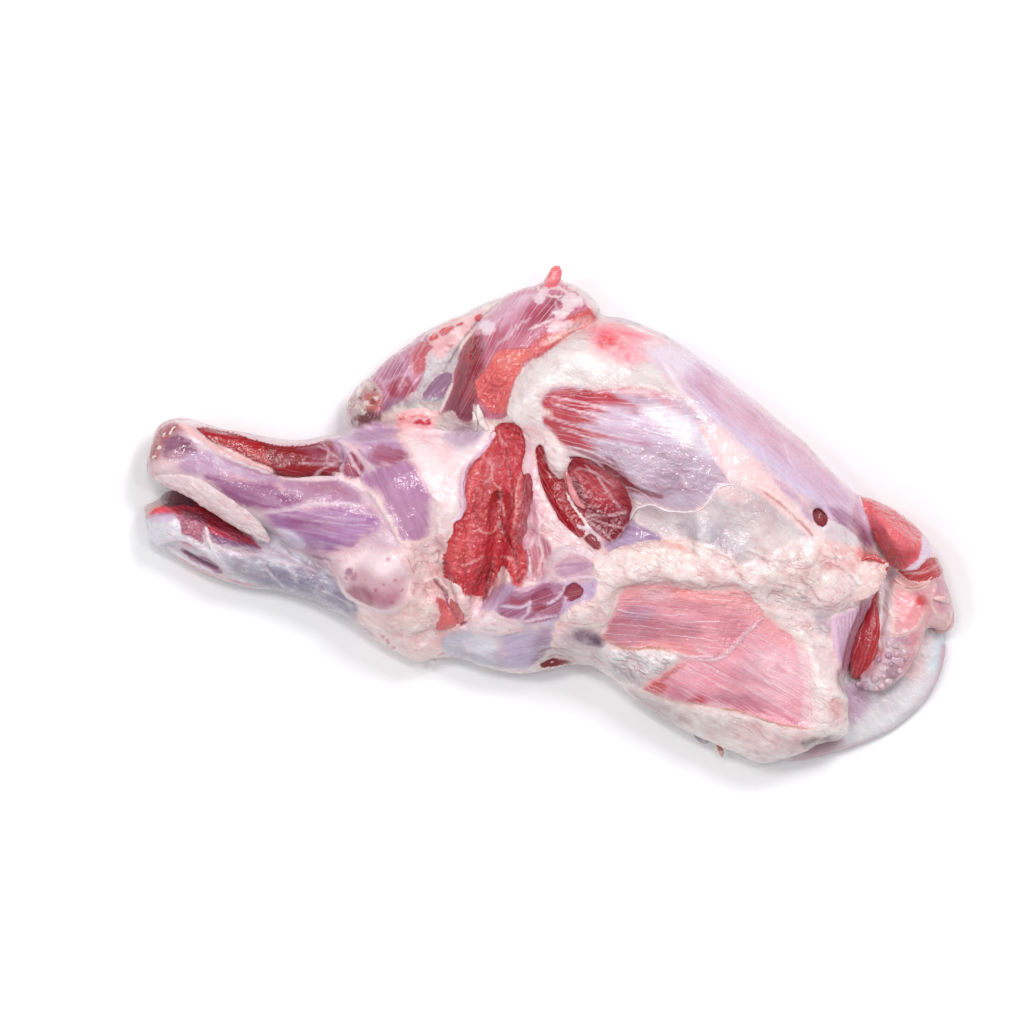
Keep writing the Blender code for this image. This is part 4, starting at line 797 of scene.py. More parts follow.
def paint_cut(p):
    # fat on both sides of the cut face
    p.skin([(-75.4, 40.1), (-64.4, 42.1), (-49.4, 41.1), (-35.4, 40.1), (-28.4, 44.1), (-28.4, 38.1),
        (-35.4, 29.1), (-41.4, 21.1), (-42.9, 8.1), (-43.4, -0.9), (-49.4, -6.9), (-53.4, -15.9),
        (-64.4, -17.9), (-72.4, -14.4), (-58.4, -11.9), (-55.9, 2.1), (-60.4, 14.1), (-68.4, 29.1)],
        (248, 228, 230), rise=0.3, lump=0.2, melt=2.6, ragged=(2.0, 6.0))
    p.tint([(-51.4, 43.1), (-33.4, 43.1), (-35.4, 37.1), (-44.4, 33.1), (-51.4, 37.1)], (206, 186, 210),
        0.75, 2.6)
    p.tint([(-59.4, 8.1), (-52.4, 5.1), (-50.4, -6.9), (-57.4, -11.9), (-59.4, -1.9)], (232, 214, 214), 0.8,
        2.4)
    p.skin([(-72.4, -14.4), (-59.4, -11.9), (-51.4, -9.4), (-52.4, -21.9), (-54.4, -31.9), (-51.4, -39.9),
        (-43.4, -41.9), (-34.4, -43.9), (-36.4, -50.9), (-41.4, -55.9), (-54.4, -61.9), (-69.4, -66.9),
        (-76.4, -61.9), (-72.4, -46.9), (-68.4, -31.9)], (238, 208, 208), rise=0.2, lump=0.9)
    p.tint([(-76.4, -47.9), (-64.4, -41.9), (-57.4, -46.9), (-59.4, -61.9), (-72.4, -66.9), (-82.4, -59.9)],
        (234, 212, 206), 0.7, 3.0)
    p.tint([(-59.4, -31.9), (-52.4, -33.9), (-52.4, -43.9), (-58.4, -44.9), (-62.4, -37.9)],
        (222, 182, 180), 0.8, 2.0)
    p.stroke([(-58.4, -18.9), (-55.4, -16.9), (-54.4, -19.9), (-56.4, -22.9)], 1.6, (150, 50, 50), 0.7)
    p.stroke([(-62.4, -32.9), (-55.4, -30.9), (-51.4, -36.9)], 1.6, (246, 232, 228), 0.8, rise=0.8)
    for spot in ((-82.9, -60.4), (-80.4, -63.4), (-77.9, -65.9), (-80.9, -61.9)):
        p.spot(spot, 1.3, (196, 60, 60), 0.8)
    # bare pink and lilac between the cut and the hollow
    p.skin([(-14.4, 44.1), (-7.4, 43.1), (-0.4, 38.1), (8.6, 27.1), (5.6, 20.1), (-1.9, 23.1), (-0.4, 8.1),
        (8.6, -3.9), (18.6, -14.4), (23.6, -21.9), (22.6, -36.9), (5.6, -31.9), (-0.4, -26.9),
        (-1.9, -14.4), (-8.4, -9.9), (-9.4, 3.1), (-8.4, 18.1), (-10.4, 30.6)], (236, 208, 210), rise=0.1,
        lump=0.5)
    p.tint([(-10.4, 42.1), (-0.4, 37.1), (8.6, 26.1), (5.6, 21.1), (-4.4, 30.1)], (244, 232, 232), 0.9, 2.0)
    p.tint([(-11.4, 38.1), (-7.4, 28.1), (-6.4, 8.1), (-9.4, 8.1), (-11.4, 23.1)], (218, 182, 196), 0.8,
        1.6)
    p.muscle([(-16.4, -14.4), (-10.4, -10.4), (-2.4, -10.9), (1.6, -17.9), (0.6, -25.9), (-4.4, -31.4),
        (-11.4, -31.9), (-15.4, -24.9)], (206, 132, 150), (98,), 0.5, 0.5, film=0.35, sink=0.0, melt=1.2)
    p.tint([(-14.4, 13.1), (-7.4, 14.1), (-4.4, 3.1), (-2.4, -9.9), (-10.4, -14.4), (-14.4, -6.9)],
        (224, 168, 184), 0.85, 2.4)
    p.tint([(-11.4, 35.1), (-7.4, 23.1), (-5.4, 8.1), (-8.4, 8.1), (-11.4, 23.1)], (228, 196, 210), 0.8,
        1.4)
    for path in ([(-9.4, 8.1), (-8.4, -1.9), (-10.4, -11.9)], [(-6.4, 5.1), (-4.4, -3.9), (-5.4, -14.4)],
            [(-12.4, -15.9), (-9.4, -21.9), (-10.4, -29.9)], [(-2.4, -1.9), (-6.4, -7.9), (-9.4, -15.9)],
            [(-4.4, -11.9), (-3.4, -19.9), (-5.4, -27.9)]):
        p.stroke(path, 0.9, (244, 226, 232), 0.8, kind="fat", rise=0.3, ragged=(0.9, 3.0))
    # the cut face
    p.muscle([(-27.9, 42.6), (-24.4, 46.1), (-17.4, 46.1), (-13.4, 42.1), (-11.9, 34.1), (-13.9, 25.1),
        (-12.4, 21.1), (-9.4, 20.1), (-8.9, 9.1), (-11.4, -1.9), (-12.9, -13.9), (-10.4, -17.9),
        (-10.9, -24.9), (-11.4, -29.9), (-13.4, -35.9), (-16.9, -36.9), (-19.4, -29.9), (-22.9, -24.9),
        (-25.9, -28.9), (-28.4, -34.9), (-34.4, -41.9), (-41.4, -39.4), (-44.4, -34.9), (-50.9, -31.9),
        (-52.9, -24.9), (-51.4, -15.9), (-48.4, -8.9), (-47.4, -2.9), (-43.4, -0.9), (-41.4, 7.1),
        (-42.9, 14.1), (-41.9, 21.1), (-38.4, 28.1), (-34.4, 30.1), (-30.4, 38.1)], (202, 64, 74), (76,),
        0.4, 0.1, crag=0.8, sink=0.5, soft=0.5, ragged=(1.2, 4.0))
    # darker reds where the cut face sinks: painted shade
    p.tint([(-35.4, 16.1), (-28.4, 19.1), (-24.4, 10.1), (-27.4, -2.9), (-34.4, -4.9), (-37.4, 5.1)],
        (184, 56, 64), 0.6, 2.2, "lean", rise=-0.6)
    p.tint([(-24.4, -1.9), (-16.4, -6.9), (-14.4, -17.9), (-20.4, -19.9), (-25.4, -11.9)], (188, 52, 60),
        0.6, 2.0, "lean", rise=-0.6)
    p.tint([(-30.4, -19.9), (-26.4, -22.9), (-29.4, -36.9), (-35.4, -37.9), (-36.4, -26.9)], (186, 70, 78),
        0.6, 2.0, "lean")
    p.tint([(-42.4, 25.1), (-34.4, 27.1), (-36.4, 8.1), (-41.4, 8.1)], (218, 90, 92), 0.7, 1.8, "lean")
    p.tint([(-50.4, -11.9), (-39.4, -9.9), (-40.4, -24.9), (-50.4, -27.9)], (220, 92, 92), 0.8, 2.4, "lean")
    p.tint([(-22.4, -19.9), (-16.4, -22.9), (-14.4, -34.9), (-19.4, -27.9)], (222, 88, 90), 0.8, 1.4,
        "lean")
    p.tint([(-10.4, -14.9), (-1.9, -16.9), (-1.9, -25.9), (-9.4, -27.9)], (206, 122, 130), 0.7, 2.0, "lean")
    p.tint([(-41.4, 24.1), (-43.4, 13.1), (-41.4, 2.1), (-44.4, 0.1), (-45.4, 13.1)], (232, 206, 224), 0.9,
        0.8, "fat")
    p.stroke([(-27.4, 41.1), (-32.4, 34.1), (-37.4, 28.6), (-41.4, 23.1), (-42.9, 13.1), (-42.4, 5.1),
        (-46.4, -1.9)], 2.2, (232, 204, 226), 0.9, kind="fat", rise=0.3)
    # dark cracks sunk into the cut face: painted shade inside them
    for path, width in (([(-25.4, 11.1), (-24.4, 4.1), (-24.4, -3.9), (-21.4, -11.9), (-16.4, -19.9)], 1.8),
            ([(-16.4, -19.9), (-15.9, -27.9), (-14.4, -33.9)], 1.4),
            ([(-28.4, -23.9), (-30.4, -31.9), (-31.4, -38.9), (-35.4, -44.9), (-40.4, -50.9),
            (-43.4, -54.9)], 2.6), ([(-57.4, -31.9), (-52.4, -36.9), (-49.9, -43.9), (-46.9, -50.9),
            (-42.4, -54.9)], 2.4), ([(-36.4, 15.1), (-37.4, 5.1), (-35.4, -3.9)], 1.0),
            ([(-19.4, 23.1), (-18.4, 8.1), (-20.4, -1.9)], 0.9),
            ([(-40.4, -11.9), (-42.4, -21.9), (-41.4, -31.9)], 0.8),
            ([(-20.4, 38.1), (-21.4, 28.1), (-19.4, 21.1)], 0.8)):
        p.stroke(path, width * 0.8, (128, 24, 34), 0.7, kind="bare", rise=-0.9, ragged=(1.2, 2.6))
    for path in ([(-32.4, 32.1), (-34.4, 23.1), (-36.4, 13.1)],
            [(-27.4, 38.1), (-29.4, 28.1), (-31.4, 21.1)], [(-45.4, -11.9), (-46.4, -21.9), (-44.4, -29.9)],
            [(-24.4, 42.1), (-18.4, 38.1), (-15.4, 32.1)], [(-38.4, -1.9), (-40.4, -11.9), (-39.4, -19.9)],
            [(-17.4, 23.1), (-14.4, 13.1), (-15.4, 5.1)]):
        p.stroke(path, 0.7, (226, 128, 130), 0.6, "lean", rise=0.4, ragged=(1.2, 3.0))
    for path in ([(-27.4, 17.1), (-24.4, 12.1), (-23.9, 6.1), (-21.9, 0.1)],
            [(-36.4, -5.9), (-31.4, -8.4), (-26.4, -6.9), (-24.4, -1.9)],
            [(-18.4, -6.9), (-16.4, 1.1), (-13.4, 10.1)], [(-24.4, -19.9), (-18.4, -21.9), (-16.4, -27.9)],
            [(-25.4, 43.1), (-24.4, 38.1), (-21.4, 35.1)], [(-43.4, -24.9), (-37.4, -22.9), (-32.4, -19.9)],
            [(-29.4, 29.1), (-28.4, 21.1), (-32.4, 16.1)], [(-13.4, 23.1), (-16.4, 13.1), (-16.4, 3.1)]):
        p.stroke(path, 0.9, (238, 186, 184), 0.7, "lean", rise=0.5, ragged=(1.4, 2.6))
    p.muscle([(-12.9, 19.1), (-8.9, 20.6), (-7.9, 10.6), (-10.4, 0.6), (-11.4, -7.9), (-15.4, -14.4),
        (-17.4, -10.9), (-14.4, 3.1)], (176, 70, 84), (84,), 0.8, 0.3, crag=0.5, sink=0.2, soft=0.5)
    p.tint([(-10.4, 7.1), (-6.4, 5.6), (-6.4, -9.4), (-11.4, -9.9)], (204, 140, 156), 0.8, 1.4, "both")
    p.stroke([(-25.4, -28.9), (-26.4, -34.9), (-29.4, -41.9), (-33.4, -47.9)], 2.2, (228, 160, 160), 0.8,
        rise=0.6)
    # coral below, between the two cracks
    p.skin([(-50.4, -41.9), (-43.4, -39.9), (-33.4, -41.9), (-37.4, -48.9), (-43.4, -52.9), (-47.4, -46.9)],
        (240, 212, 212), rise=0.6, lump=0.9)
    p.muscle([(-56.4, -40.9), (-52.4, -41.9), (-48.4, -47.9), (-46.4, -53.9), (-51.4, -56.9),
        (-56.4, -56.4), (-54.4, -48.9)], (220, 120, 122), (75,), 0.5, 0.1, crag=0.5, sink=-0.4, soft=0.5)
    p.muscle([(-49.4, -41.9), (-45.4, -42.9), (-42.9, -48.9), (-43.4, -53.9), (-46.4, -51.9)],
        (214, 124, 124), (70,), 0.6, 0.1, crag=0.4, sink=-0.2, soft=0.5)
    p.tint([(-78.4, -56.9), (-59.4, -58.9), (-39.4, -56.9), (-48.4, -64.9), (-69.4, -67.9)],
        (236, 196, 196), 0.8, 3.0)
    p.stroke([(-55.4, -69.9), (-47.4, -65.9), (-39.4, -61.9)], 1.2, (212, 96, 92), 0.7)
    # wedge and hollow
    p.muscle([(-6.4, 34.1), (-3.4, 35.1), (-1.4, 28.1), (3.6, 20.1), (7.6, 19.1), (9.6, 8.1), (15.1, 0.1),
        (18.6, -6.9), (14.6, -10.4), (6.6, -2.9), (0.6, 7.1), (-3.4, 15.1), (-5.4, 25.1)], (172, 22, 42),
        (-58,), 0.6, 0.35, crag=0.4, sink=0.4, soft=0.4)
    p.skin([(-2.4, 37.1), (2.6, 36.1), (8.6, 30.1), (12.6, 26.1), (9.6, 21.1), (4.6, 19.1), (-0.4, 26.1)],
        (243, 233, 232), rise=1.0, lump=0.6)
    p.muscle([(9.6, 26.1), (14.6, 28.6), (23.6, 24.6), (32.6, 18.1), (38.6, 12.1), (41.1, 2.1),
        (37.6, -6.9), (30.6, -12.9), (24.6, -9.9), (18.6, -1.9), (12.6, 6.1), (8.6, 15.1)], (178, 56, 72),
        (-32,), 0.7, 0.15, crag=0.45, sink=0.6, soft=0.4, ragged=(0.8, 4.0))
    p.tint([(16.6, 6.1), (27.6, 2.1), (40.6, 3.1), (36.6, -8.9), (28.6, -11.9), (19.6, -3.9)],
        (134, 26, 54), 0.85, 3.0, "lean")
    p.tint([(9.6, 16.1), (15.6, 18.1), (19.6, 8.1), (15.6, 3.1), (11.6, 8.1)], (124, 22, 36), 0.8, 2.0,
        "lean")
    p.tint([(18.6, 25.1), (29.6, 20.1), (35.6, 12.1), (28.6, 8.1), (20.6, 15.1)], (200, 88, 98), 0.8, 2.4,
        "lean")
    p.stroke([(8.6, 21.1), (11.1, 14.1), (13.6, 8.1), (17.6, 5.1)], 2.6, (226, 152, 156), 0.85, "lean",
        rise=1.0)
    p.stroke([(12.6, 23.1), (16.6, 16.1), (18.6, 9.1)], 1.4, (206, 110, 118), 0.8, "lean", rise=0.6)
    for path in ([(13.6, 24.1), (23.6, 21.1), (32.6, 14.1)], [(17.6, 25.1), (25.6, 18.1), (28.6, 11.1)],
            [(18.6, 1.1), (28.6, 0.1), (39.6, 2.1)], [(18.6, 0.1), (28.6, -3.9), (37.6, -5.9)],
            [(17.6, -0.9), (25.6, -6.9), (31.6, -11.9)], [(23.6, 20.1), (31.6, 9.1), (35.6, 4.1)]):
        p.stroke(path, 0.7, (230, 196, 202), 0.8, "lean", rise=0.6)
    # painted shadow under the edge of the muscle under the blade, sunk into the surface
    p.stroke([(27.6, 24.1), (35.6, 18.1), (42.6, 12.6), (49.6, 10.6), (56.6, 9.1)], 3.6, (150, 46, 62), 0.9,
        kind="bare", rise=-0.8, taper=0.4)
    p.stroke([(14.6, -4.9), (21.6, -7.9), (28.6, -13.9), (34.6, -17.9)], 2.0, (226, 204, 216), 0.9,
        kind="fat", rise=0.4)
    p.muscle([(18.1, -10.9), (21.6, -8.9), (26.1, -14.4), (24.1, -16.4), (19.6, -13.4)], (156, 66, 76),
        (-40,), 0.4, 0.2, sink=1.0, soft=0.4, ragged=(0.4, 3.0))
    p.muscle([(27.6, -14.4), (34.6, -9.9), (41.6, -0.9), (48.6, -4.9), (56.6, -10.9), (49.6, -12.9),
        (46.6, -17.4), (38.6, -14.9), (31.6, -18.4)], (176, 146, 178), (-20,), 0.3, 0.1, film=0.5, sink=0.2,
        soft=0.8, melt=1.0)
    # thin grey sheet with a scalloped edge
    p.skin([(40.6, 0.1), (44.6, 4.1), (51.6, 5.6), (59.6, 2.6), (70.6, 2.1), (76.6, 3.6), (81.1, 9.1),
        (85.6, 15.1), (93.6, 15.1), (101.6, 11.1), (111.6, 4.1), (125.6, -8.9), (135.6, -15.9),
        (125.6, -29.4), (105.6, -31.9), (90.6, -27.9), (75.6, -19.4), (61.6, -12.4), (50.6, -7.4),
        (43.6, -3.9)], (216, 205, 208), rise=0.5, lump=0.25, melt=0.6)
    p.stroke([(40.6, -1.9), (43.6, 3.6), (51.6, 5.6), (59.6, 2.6), (71.6, 2.1), (77.6, 4.6), (81.6, 11.1),
        (86.6, 15.6), (92.6, 15.6)], 1.1, (234, 220, 230), 0.9, kind="fat", rise=0.3)
    p.tint([(83.6, 14.1), (95.6, 15.1), (99.6, 8.1), (87.6, 7.1)], (240, 218, 218), 0.8, 2.0)
    p.tint([(65.6, -3.9), (83.6, -3.9), (95.6, -16.9), (75.6, -15.9)], (196, 186, 196), 0.8, 3.6)
    p.tint([(101.6, -3.9), (120.6, -8.9), (125.6, -19.9), (105.6, -24.9)], (236, 218, 216), 0.8, 6.0)
    for path in ([(95.6, -6.9), (97.6, -14.4), (103.6, -17.9)], [(100.6, 8.1), (95.6, 5.1), (97.6, 0.1)],
            [(70.6, -9.9), (75.6, -14.4), (85.6, -15.9)], [(105.6, -14.4), (115.6, -17.9), (120.6, -24.9)]):
        p.stroke(path, 0.8, (236, 226, 228), 0.7, rise=0.4)


def paint_lower(p):
    # lilac films with holes
    p.skin([(-35.4, -47.9), (-25.4, -36.9), (-18.4, -34.9), (-9.4, -36.9), (-1.4, -30.9), (15.6, -25.9),
        (25.6, -24.9), (32.6, -31.9), (25.6, -43.9), (10.6, -47.9), (1.6, -53.9), (-14.4, -55.9),
        (-34.4, -54.9)], (204, 180, 208), rise=0.1, lump=0.3)
    p.skin([(-1.4, -21.9), (5.6, -15.9), (21.6, -17.9), (24.6, -22.9), (21.6, -30.9), (5.6, -31.9),
        (-0.4, -28.9)], (222, 196, 204), rise=0.1, lump=0.2)
    p.muscle([(3.6, -24.9), (10.6, -21.9), (20.6, -22.9), (21.6, -27.9), (15.6, -30.9), (7.6, -30.9)],
        (190, 142, 168), (10,), 0.2, 0.1, film=0.4, sink=0.2, soft=1.4, melt=3.2, ragged=(3.0, 7.0))
    p.muscle([(-25.4, -39.9), (-14.4, -35.9), (1.6, -32.9), (8.6, -36.9), (5.6, -43.9), (-4.4, -49.9),
        (-16.4, -51.9), (-25.4, -47.9)], (178, 108, 142), (22,), 0.4, 0.2, film=0.3, sink=0.3, melt=2.6,
        ragged=(2.6, 6.0))
    p.muscle([(7.1, -39.4), (9.6, -34.9), (13.1, -33.4), (17.1, -36.9), (15.6, -40.4), (9.6, -42.4)],
        (158, 58, 84), (15,), 0.5, 0.2, sink=1.0, soft=0.4, ragged=(0.7, 3.0))
    p.muscle([(-9.4, -40.9), (-5.4, -36.9), (-0.4, -35.9), (2.1, -39.9), (-1.9, -43.4), (-8.4, -43.4)],
        (166, 84, 112), (20,), 0.5, 0.2, sink=0.7, soft=0.5, ragged=(0.7, 3.0), melt=0.6)
    p.muscle([(-9.4, -46.4), (-6.4, -44.4), (-1.4, -44.9), (-2.4, -47.4), (-6.4, -48.4)], (170, 80, 102),
        (10,), 0.5, 0.2, sink=0.8, soft=0.4, ragged=(0.4, 3.0))
    p.muscle([(-20.4, -38.9), (-15.4, -41.9), (-9.4, -40.9), (-13.4, -44.9), (-19.4, -43.9)],
        (182, 100, 122), (-10,), 0.5, 0.2, sink=0.5, soft=0.6, melt=0.8)
    p.muscle([(-12.4, -50.9), (-1.4, -45.9), (5.6, -41.9), (6.1, -45.9), (0.6, -51.9), (-9.4, -53.9)],
        (164, 82, 112), (25,), 0.5, 0.3, sink=0.5, soft=0.7, melt=1.2)
    p.muscle([(-27.4, -36.9), (-20.4, -32.9), (-17.4, -36.9), (-22.4, -42.9), (-27.4, -42.9)],
        (190, 152, 180), (60,), 0.3, 0.2, film=0.4, sink=0.2, soft=1.0, melt=1.4)
    for path in ([(-14.4, -51.9), (-10.4, -47.9), (-9.4, -42.9)],
            [(-0.4, -43.9), (5.6, -39.9), (8.6, -32.9)], [(-24.4, -44.9), (-14.4, -45.9), (-10.4, -43.9)],
            [(3.6, -32.9), (20.6, -30.4), (27.6, -33.9)], [(-26.4, -49.9), (-14.4, -52.9), (3.6, -49.9)]):
        p.stroke(path, 1.0, (232, 216, 228), 0.85, kind="fat", rise=0.4)
    # back muscle at the lower edge
    p.skin([(-52.4, -61.9), (-43.4, -56.9), (-34.4, -51.9), (-14.4, -54.9), (3.6, -53.9), (5.6, -61.9),
        (-0.4, -69.9), (-9.4, -75.9), (-24.4, -74.9), (-39.4, -71.9), (-49.4, -69.4)], (206, 200, 212),
        rise=0.1, lump=0.2)
    p.muscle([(-26.4, -56.9), (-9.4, -57.9), (2.6, -54.9), (1.6, -61.9), (-2.4, -68.9), (-9.4, -74.9),
        (-22.4, -73.9), (-24.4, -65.9)], (192, 172, 200), (12,), 0.5, 0.3, film=0.55, sink=0.1, soft=1.0,
        melt=4.0)
    p.tint([(-6.4, -59.9), (1.6, -56.9), (-0.4, -65.9), (-7.4, -71.9)], (164, 124, 152), 0.8, 2.6)
    p.tint([(-43.4, -62.9), (-35.4, -58.9), (-26.4, -59.9), (-24.4, -64.9), (-31.4, -67.9), (-40.4, -67.9)],
        (232, 230, 238), 0.85, 2.4)
    p.tint([(-46.4, -65.9), (-34.4, -69.9), (-24.4, -73.9), (-39.4, -71.9)], (176, 176, 188), 0.7, 2.0)
    p.skin([(-35.4, -48.9), (-24.4, -49.9), (-14.4, -55.9), (-24.4, -59.9), (-37.4, -56.9)],
        (242, 222, 226), rise=0.3, lump=0.5, soft=1.4)
    p.skin([(-9.4, -75.9), (-4.4, -70.9), (0.6, -67.9), (-0.4, -71.9), (-5.4, -76.9)], (232, 222, 224),
        rise=0.4, lump=0.4)
    p.muscle([(-4.4, -73.9), (1.6, -71.4), (7.6, -71.9), (12.6, -73.9), (5.6, -74.9), (-1.4, -75.9)],
        (140, 60, 66), None, sink=0.6, soft=0.5, ragged=(0.4, 3.0))
    # rib lobe: fat round it
    p.skin([(1.6, -62.9), (5.6, -52.9), (13.6, -44.9), (22.6, -41.9), (25.6, -31.9), (22.6, -22.9),
        (32.6, -16.9), (50.6, -11.9), (75.6, -13.9), (98.6, -27.9), (100.6, -37.9), (85.6, -38.9),
        (65.6, -35.9), (45.6, -33.9), (34.6, -36.9), (31.6, -44.9), (31.6, -52.9), (26.6, -61.9),
        (35.6, -66.9), (58.6, -65.9), (67.6, -71.9), (55.6, -81.9), (48.1, -86.9), (35.6, -81.9),
        (23.6, -74.9), (8.6, -71.9)], (238, 220, 217), rise=0.3, lump=0.8)
    p.tint([(2.6, -56.9), (10.6, -47.9), (25.6, -43.9), (23.6, -51.9), (13.6, -58.9), (5.6, -63.9)],
        (244, 226, 225), 0.8, 3.0)
    p.tint([(5.6, -59.9), (17.6, -55.9), (28.6, -62.9), (25.6, -67.9), (10.6, -67.9)], (206, 192, 196),
        0.85, 3.0)
    patch = smooth_step(p.depth([(10.6, -55.9), (20.6, -54.9), (30.6, -60.9), (26.6, -67.9),
        (13.6, -66.9)]), -1, 2)
    p.lump *= 1 - 0.9 * patch
    p.rise -= 0.8 * patch
    p.tint([(12.1, -58.4), (20.6, -56.9), (27.6, -61.4), (25.6, -65.4), (15.6, -64.4)], (146, 120, 136),
        0.9, 2.0)
    p.tint([(20.6, -59.9), (27.6, -61.9), (26.6, -64.9), (21.6, -63.4)], (110, 80, 98), 0.8, 1.4)
    p.tint([(3.6, -65.9), (25.6, -67.9), (34.6, -75.9), (23.6, -75.9), (8.6, -71.9)], (214, 202, 206), 0.8,
        3.0)
    p.tint([(26.6, -67.9), (45.6, -66.9), (61.6, -68.9), (65.6, -71.9), (50.6, -80.9), (40.6, -80.9),
        (31.6, -76.9)], (224, 218, 221), 0.95, 2.4, rise=0.6)
    p.lump += 0.7 * smooth_step(p.depth([(27.6, -68.9), (45.6, -67.9), (62.6, -69.9), (50.6, -79.9),
        (38.6, -79.9)]), -1, 2)
    p.tint([(31.6, -73.9), (45.6, -79.9), (45.6, -86.9), (34.6, -80.9)], (190, 178, 184), 0.7, 2.4)
    p.stroke([(23.6, -67.9), (31.6, -72.9), (40.6, -79.9)], 1.6, (186, 178, 184), 0.7)
    p.tint([(37.6, -17.4), (57.6, -13.9), (75.6, -19.9), (70.6, -24.9), (45.6, -21.9)], (244, 226, 220),
        0.8, 3.0)
    p.stroke([(57.6, -11.9), (64.6, -14.9), (73.6, -19.9)], 2.2, (244, 196, 186), 0.7, soft=1.0)
    p.tint([(70.6, -21.9), (95.6, -31.9), (97.6, -35.9), (75.6, -30.9)], (246, 214, 214), 0.7, 2.4)
    # its muscle
    p.muscle([(35.6, -37.9), (42.6, -33.9), (55.6, -33.4), (75.6, -36.9), (96.6, -36.9), (103.6, -43.9),
        (107.6, -50.9), (96.6, -61.9), (85.6, -71.4), (70.6, -70.9), (59.6, -66.9), (45.6, -65.9),
        (35.6, -64.9), (27.1, -60.4), (30.6, -51.9), (34.6, -44.9)], (234, 168, 178), (-5,), 0.7, 0.75,
        crag=0.2, sink=-0.6, soft=0.8, ragged=(1.8, 4.0), melt=1.0)
    p.muscle([(70.6, -70.4), (85.6, -70.4), (96.6, -60.9), (106.6, -49.9), (117.6, -56.9), (126.6, -64.4),
        (130.1, -71.9), (131.1, -86.9), (131.6, -100.9), (126.6, -105.9), (111.6, -103.4), (95.6, -97.9),
        (79.6, -94.9), (64.6, -91.9), (55.6, -89.4), (47.6, -85.9), (54.6, -79.9), (66.6, -72.4)],
        (244, 178, 190), (-29,), 0.8, 0.8, crag=0.1, sink=-0.5, soft=0.8, ragged=(1.8, 5.0), melt=1.4)
    p.tint([(27.6, -59.9), (33.6, -50.9), (50.6, -49.9), (75.6, -54.9), (70.6, -60.9), (45.6, -62.9)],
        (198, 130, 144), 0.8, 3.2, "lean")
    p.tint([(35.6, -47.9), (45.6, -44.9), (53.6, -47.9), (45.6, -52.9)], (196, 150, 174), 0.7, 2.6, "lean",
        film=0.4)
    p.tint([(36.6, -38.9), (43.6, -33.4), (75.6, -35.9), (100.6, -37.9), (106.6, -47.9), (93.1, -44.9),
        (70.6, -41.4), (45.6, -40.4)], (252, 176, 172), 0.75, 3.4, "lean", crag=0.6, ragged=(3.0, 5.0))
    p.tint([(45.6, -36.9), (56.6, -35.9), (63.6, -39.9), (50.6, -41.9)], (240, 196, 204), 0.8, 2.0, "lean")
    p.tint([(45.6, -62.9), (59.6, -61.9), (75.6, -65.9), (70.6, -69.9), (55.6, -65.9)], (238, 160, 160),
        0.8, 2.6, "lean")
    p.tint([(95.6, -43.9), (106.6, -47.9), (120.6, -57.9), (127.6, -66.9), (115.6, -64.9), (100.6, -52.9)],
        (246, 178, 182), 0.8, 2.8, "lean")
    p.tint([(96.6, -72.9), (118.6, -67.9), (125.6, -83.9), (109.6, -91.9)], (250, 208, 214), 0.7, 7.0,
        "lean", film=0.5)
    p.tint([(123.6, -61.9), (131.6, -67.9), (133.1, -91.9), (132.6, -105.9), (126.6, -104.9),
        (127.1, -86.9), (125.6, -73.9)], (250, 218, 222), 0.85, 2.0, "lean")
    p.tint([(75.6, -75.9), (88.6, -73.9), (92.6, -81.9), (78.6, -86.9)], (236, 160, 176), 0.6, 5.0, "lean")
    for path in ([(67.6, -74.9), (90.6, -86.9), (113.6, -99.9)],
            [(75.6, -72.9), (99.6, -85.9), (128.6, -102.9)],
            [(87.6, -69.9), (108.6, -81.9), (129.6, -93.9)],
            [(97.6, -63.9), (115.6, -73.9), (129.6, -82.9)], [(59.6, -82.9), (75.6, -90.9), (90.6, -95.9)]):
        p.stroke(path, 0.9, (252, 232, 236), 0.6, "lean", taper=0.4, ragged=(1.0, 6.0))
    p.tint([(57.6, -83.9), (75.6, -86.9), (105.6, -88.9), (115.6, -97.9), (85.6, -93.9), (65.6, -90.9)],
        (222, 156, 172), 0.7, 3.0, "lean")
    p.spot((75.6, -92.4), 6.0, (204, 66, 88), 0.85, "lean", hard=0.1)
    p.spot((71.6, -92.9), 3.4, (196, 80, 100), 0.7, "lean", hard=0.1)
    p.spot((135.6, -90.4), 1.3, (226, 110, 116), 0.8)
    p.stroke([(59.6, -66.9), (70.6, -70.4), (83.6, -71.4), (90.6, -66.9), (98.6, -58.4), (106.6, -50.4)],
        1.4, (244, 214, 222), 0.95, "lean", rise=0.6)
    p.stroke([(83.6, -71.4), (78.6, -68.9), (73.6, -65.9)], 0.9, (240, 210, 220), 0.8, "lean")
    for path in ([(27.6, -60.9), (39.6, -66.4), (53.6, -65.9), (62.6, -68.4)],
            [(47.6, -86.4), (59.6, -91.9), (75.6, -95.9), (93.6, -97.4), (112.6, -103.9), (129.6, -106.4)]):
        p.stroke(path, 1.3, (208, 150, 120), 0.85, rise=0.3, ragged=(0.7, 3.0))
    p.stroke([(50.6, -85.9), (59.6, -78.9), (68.6, -72.9)], 2.6, (224, 126, 116), 0.65, "both", kind="bare",
        rise=0.4, ragged=(1.6, 3.0))
    p.tint([(47.6, -86.9), (53.6, -81.9), (59.6, -83.9), (55.6, -88.9)], (214, 90, 86), 0.7, 1.6)
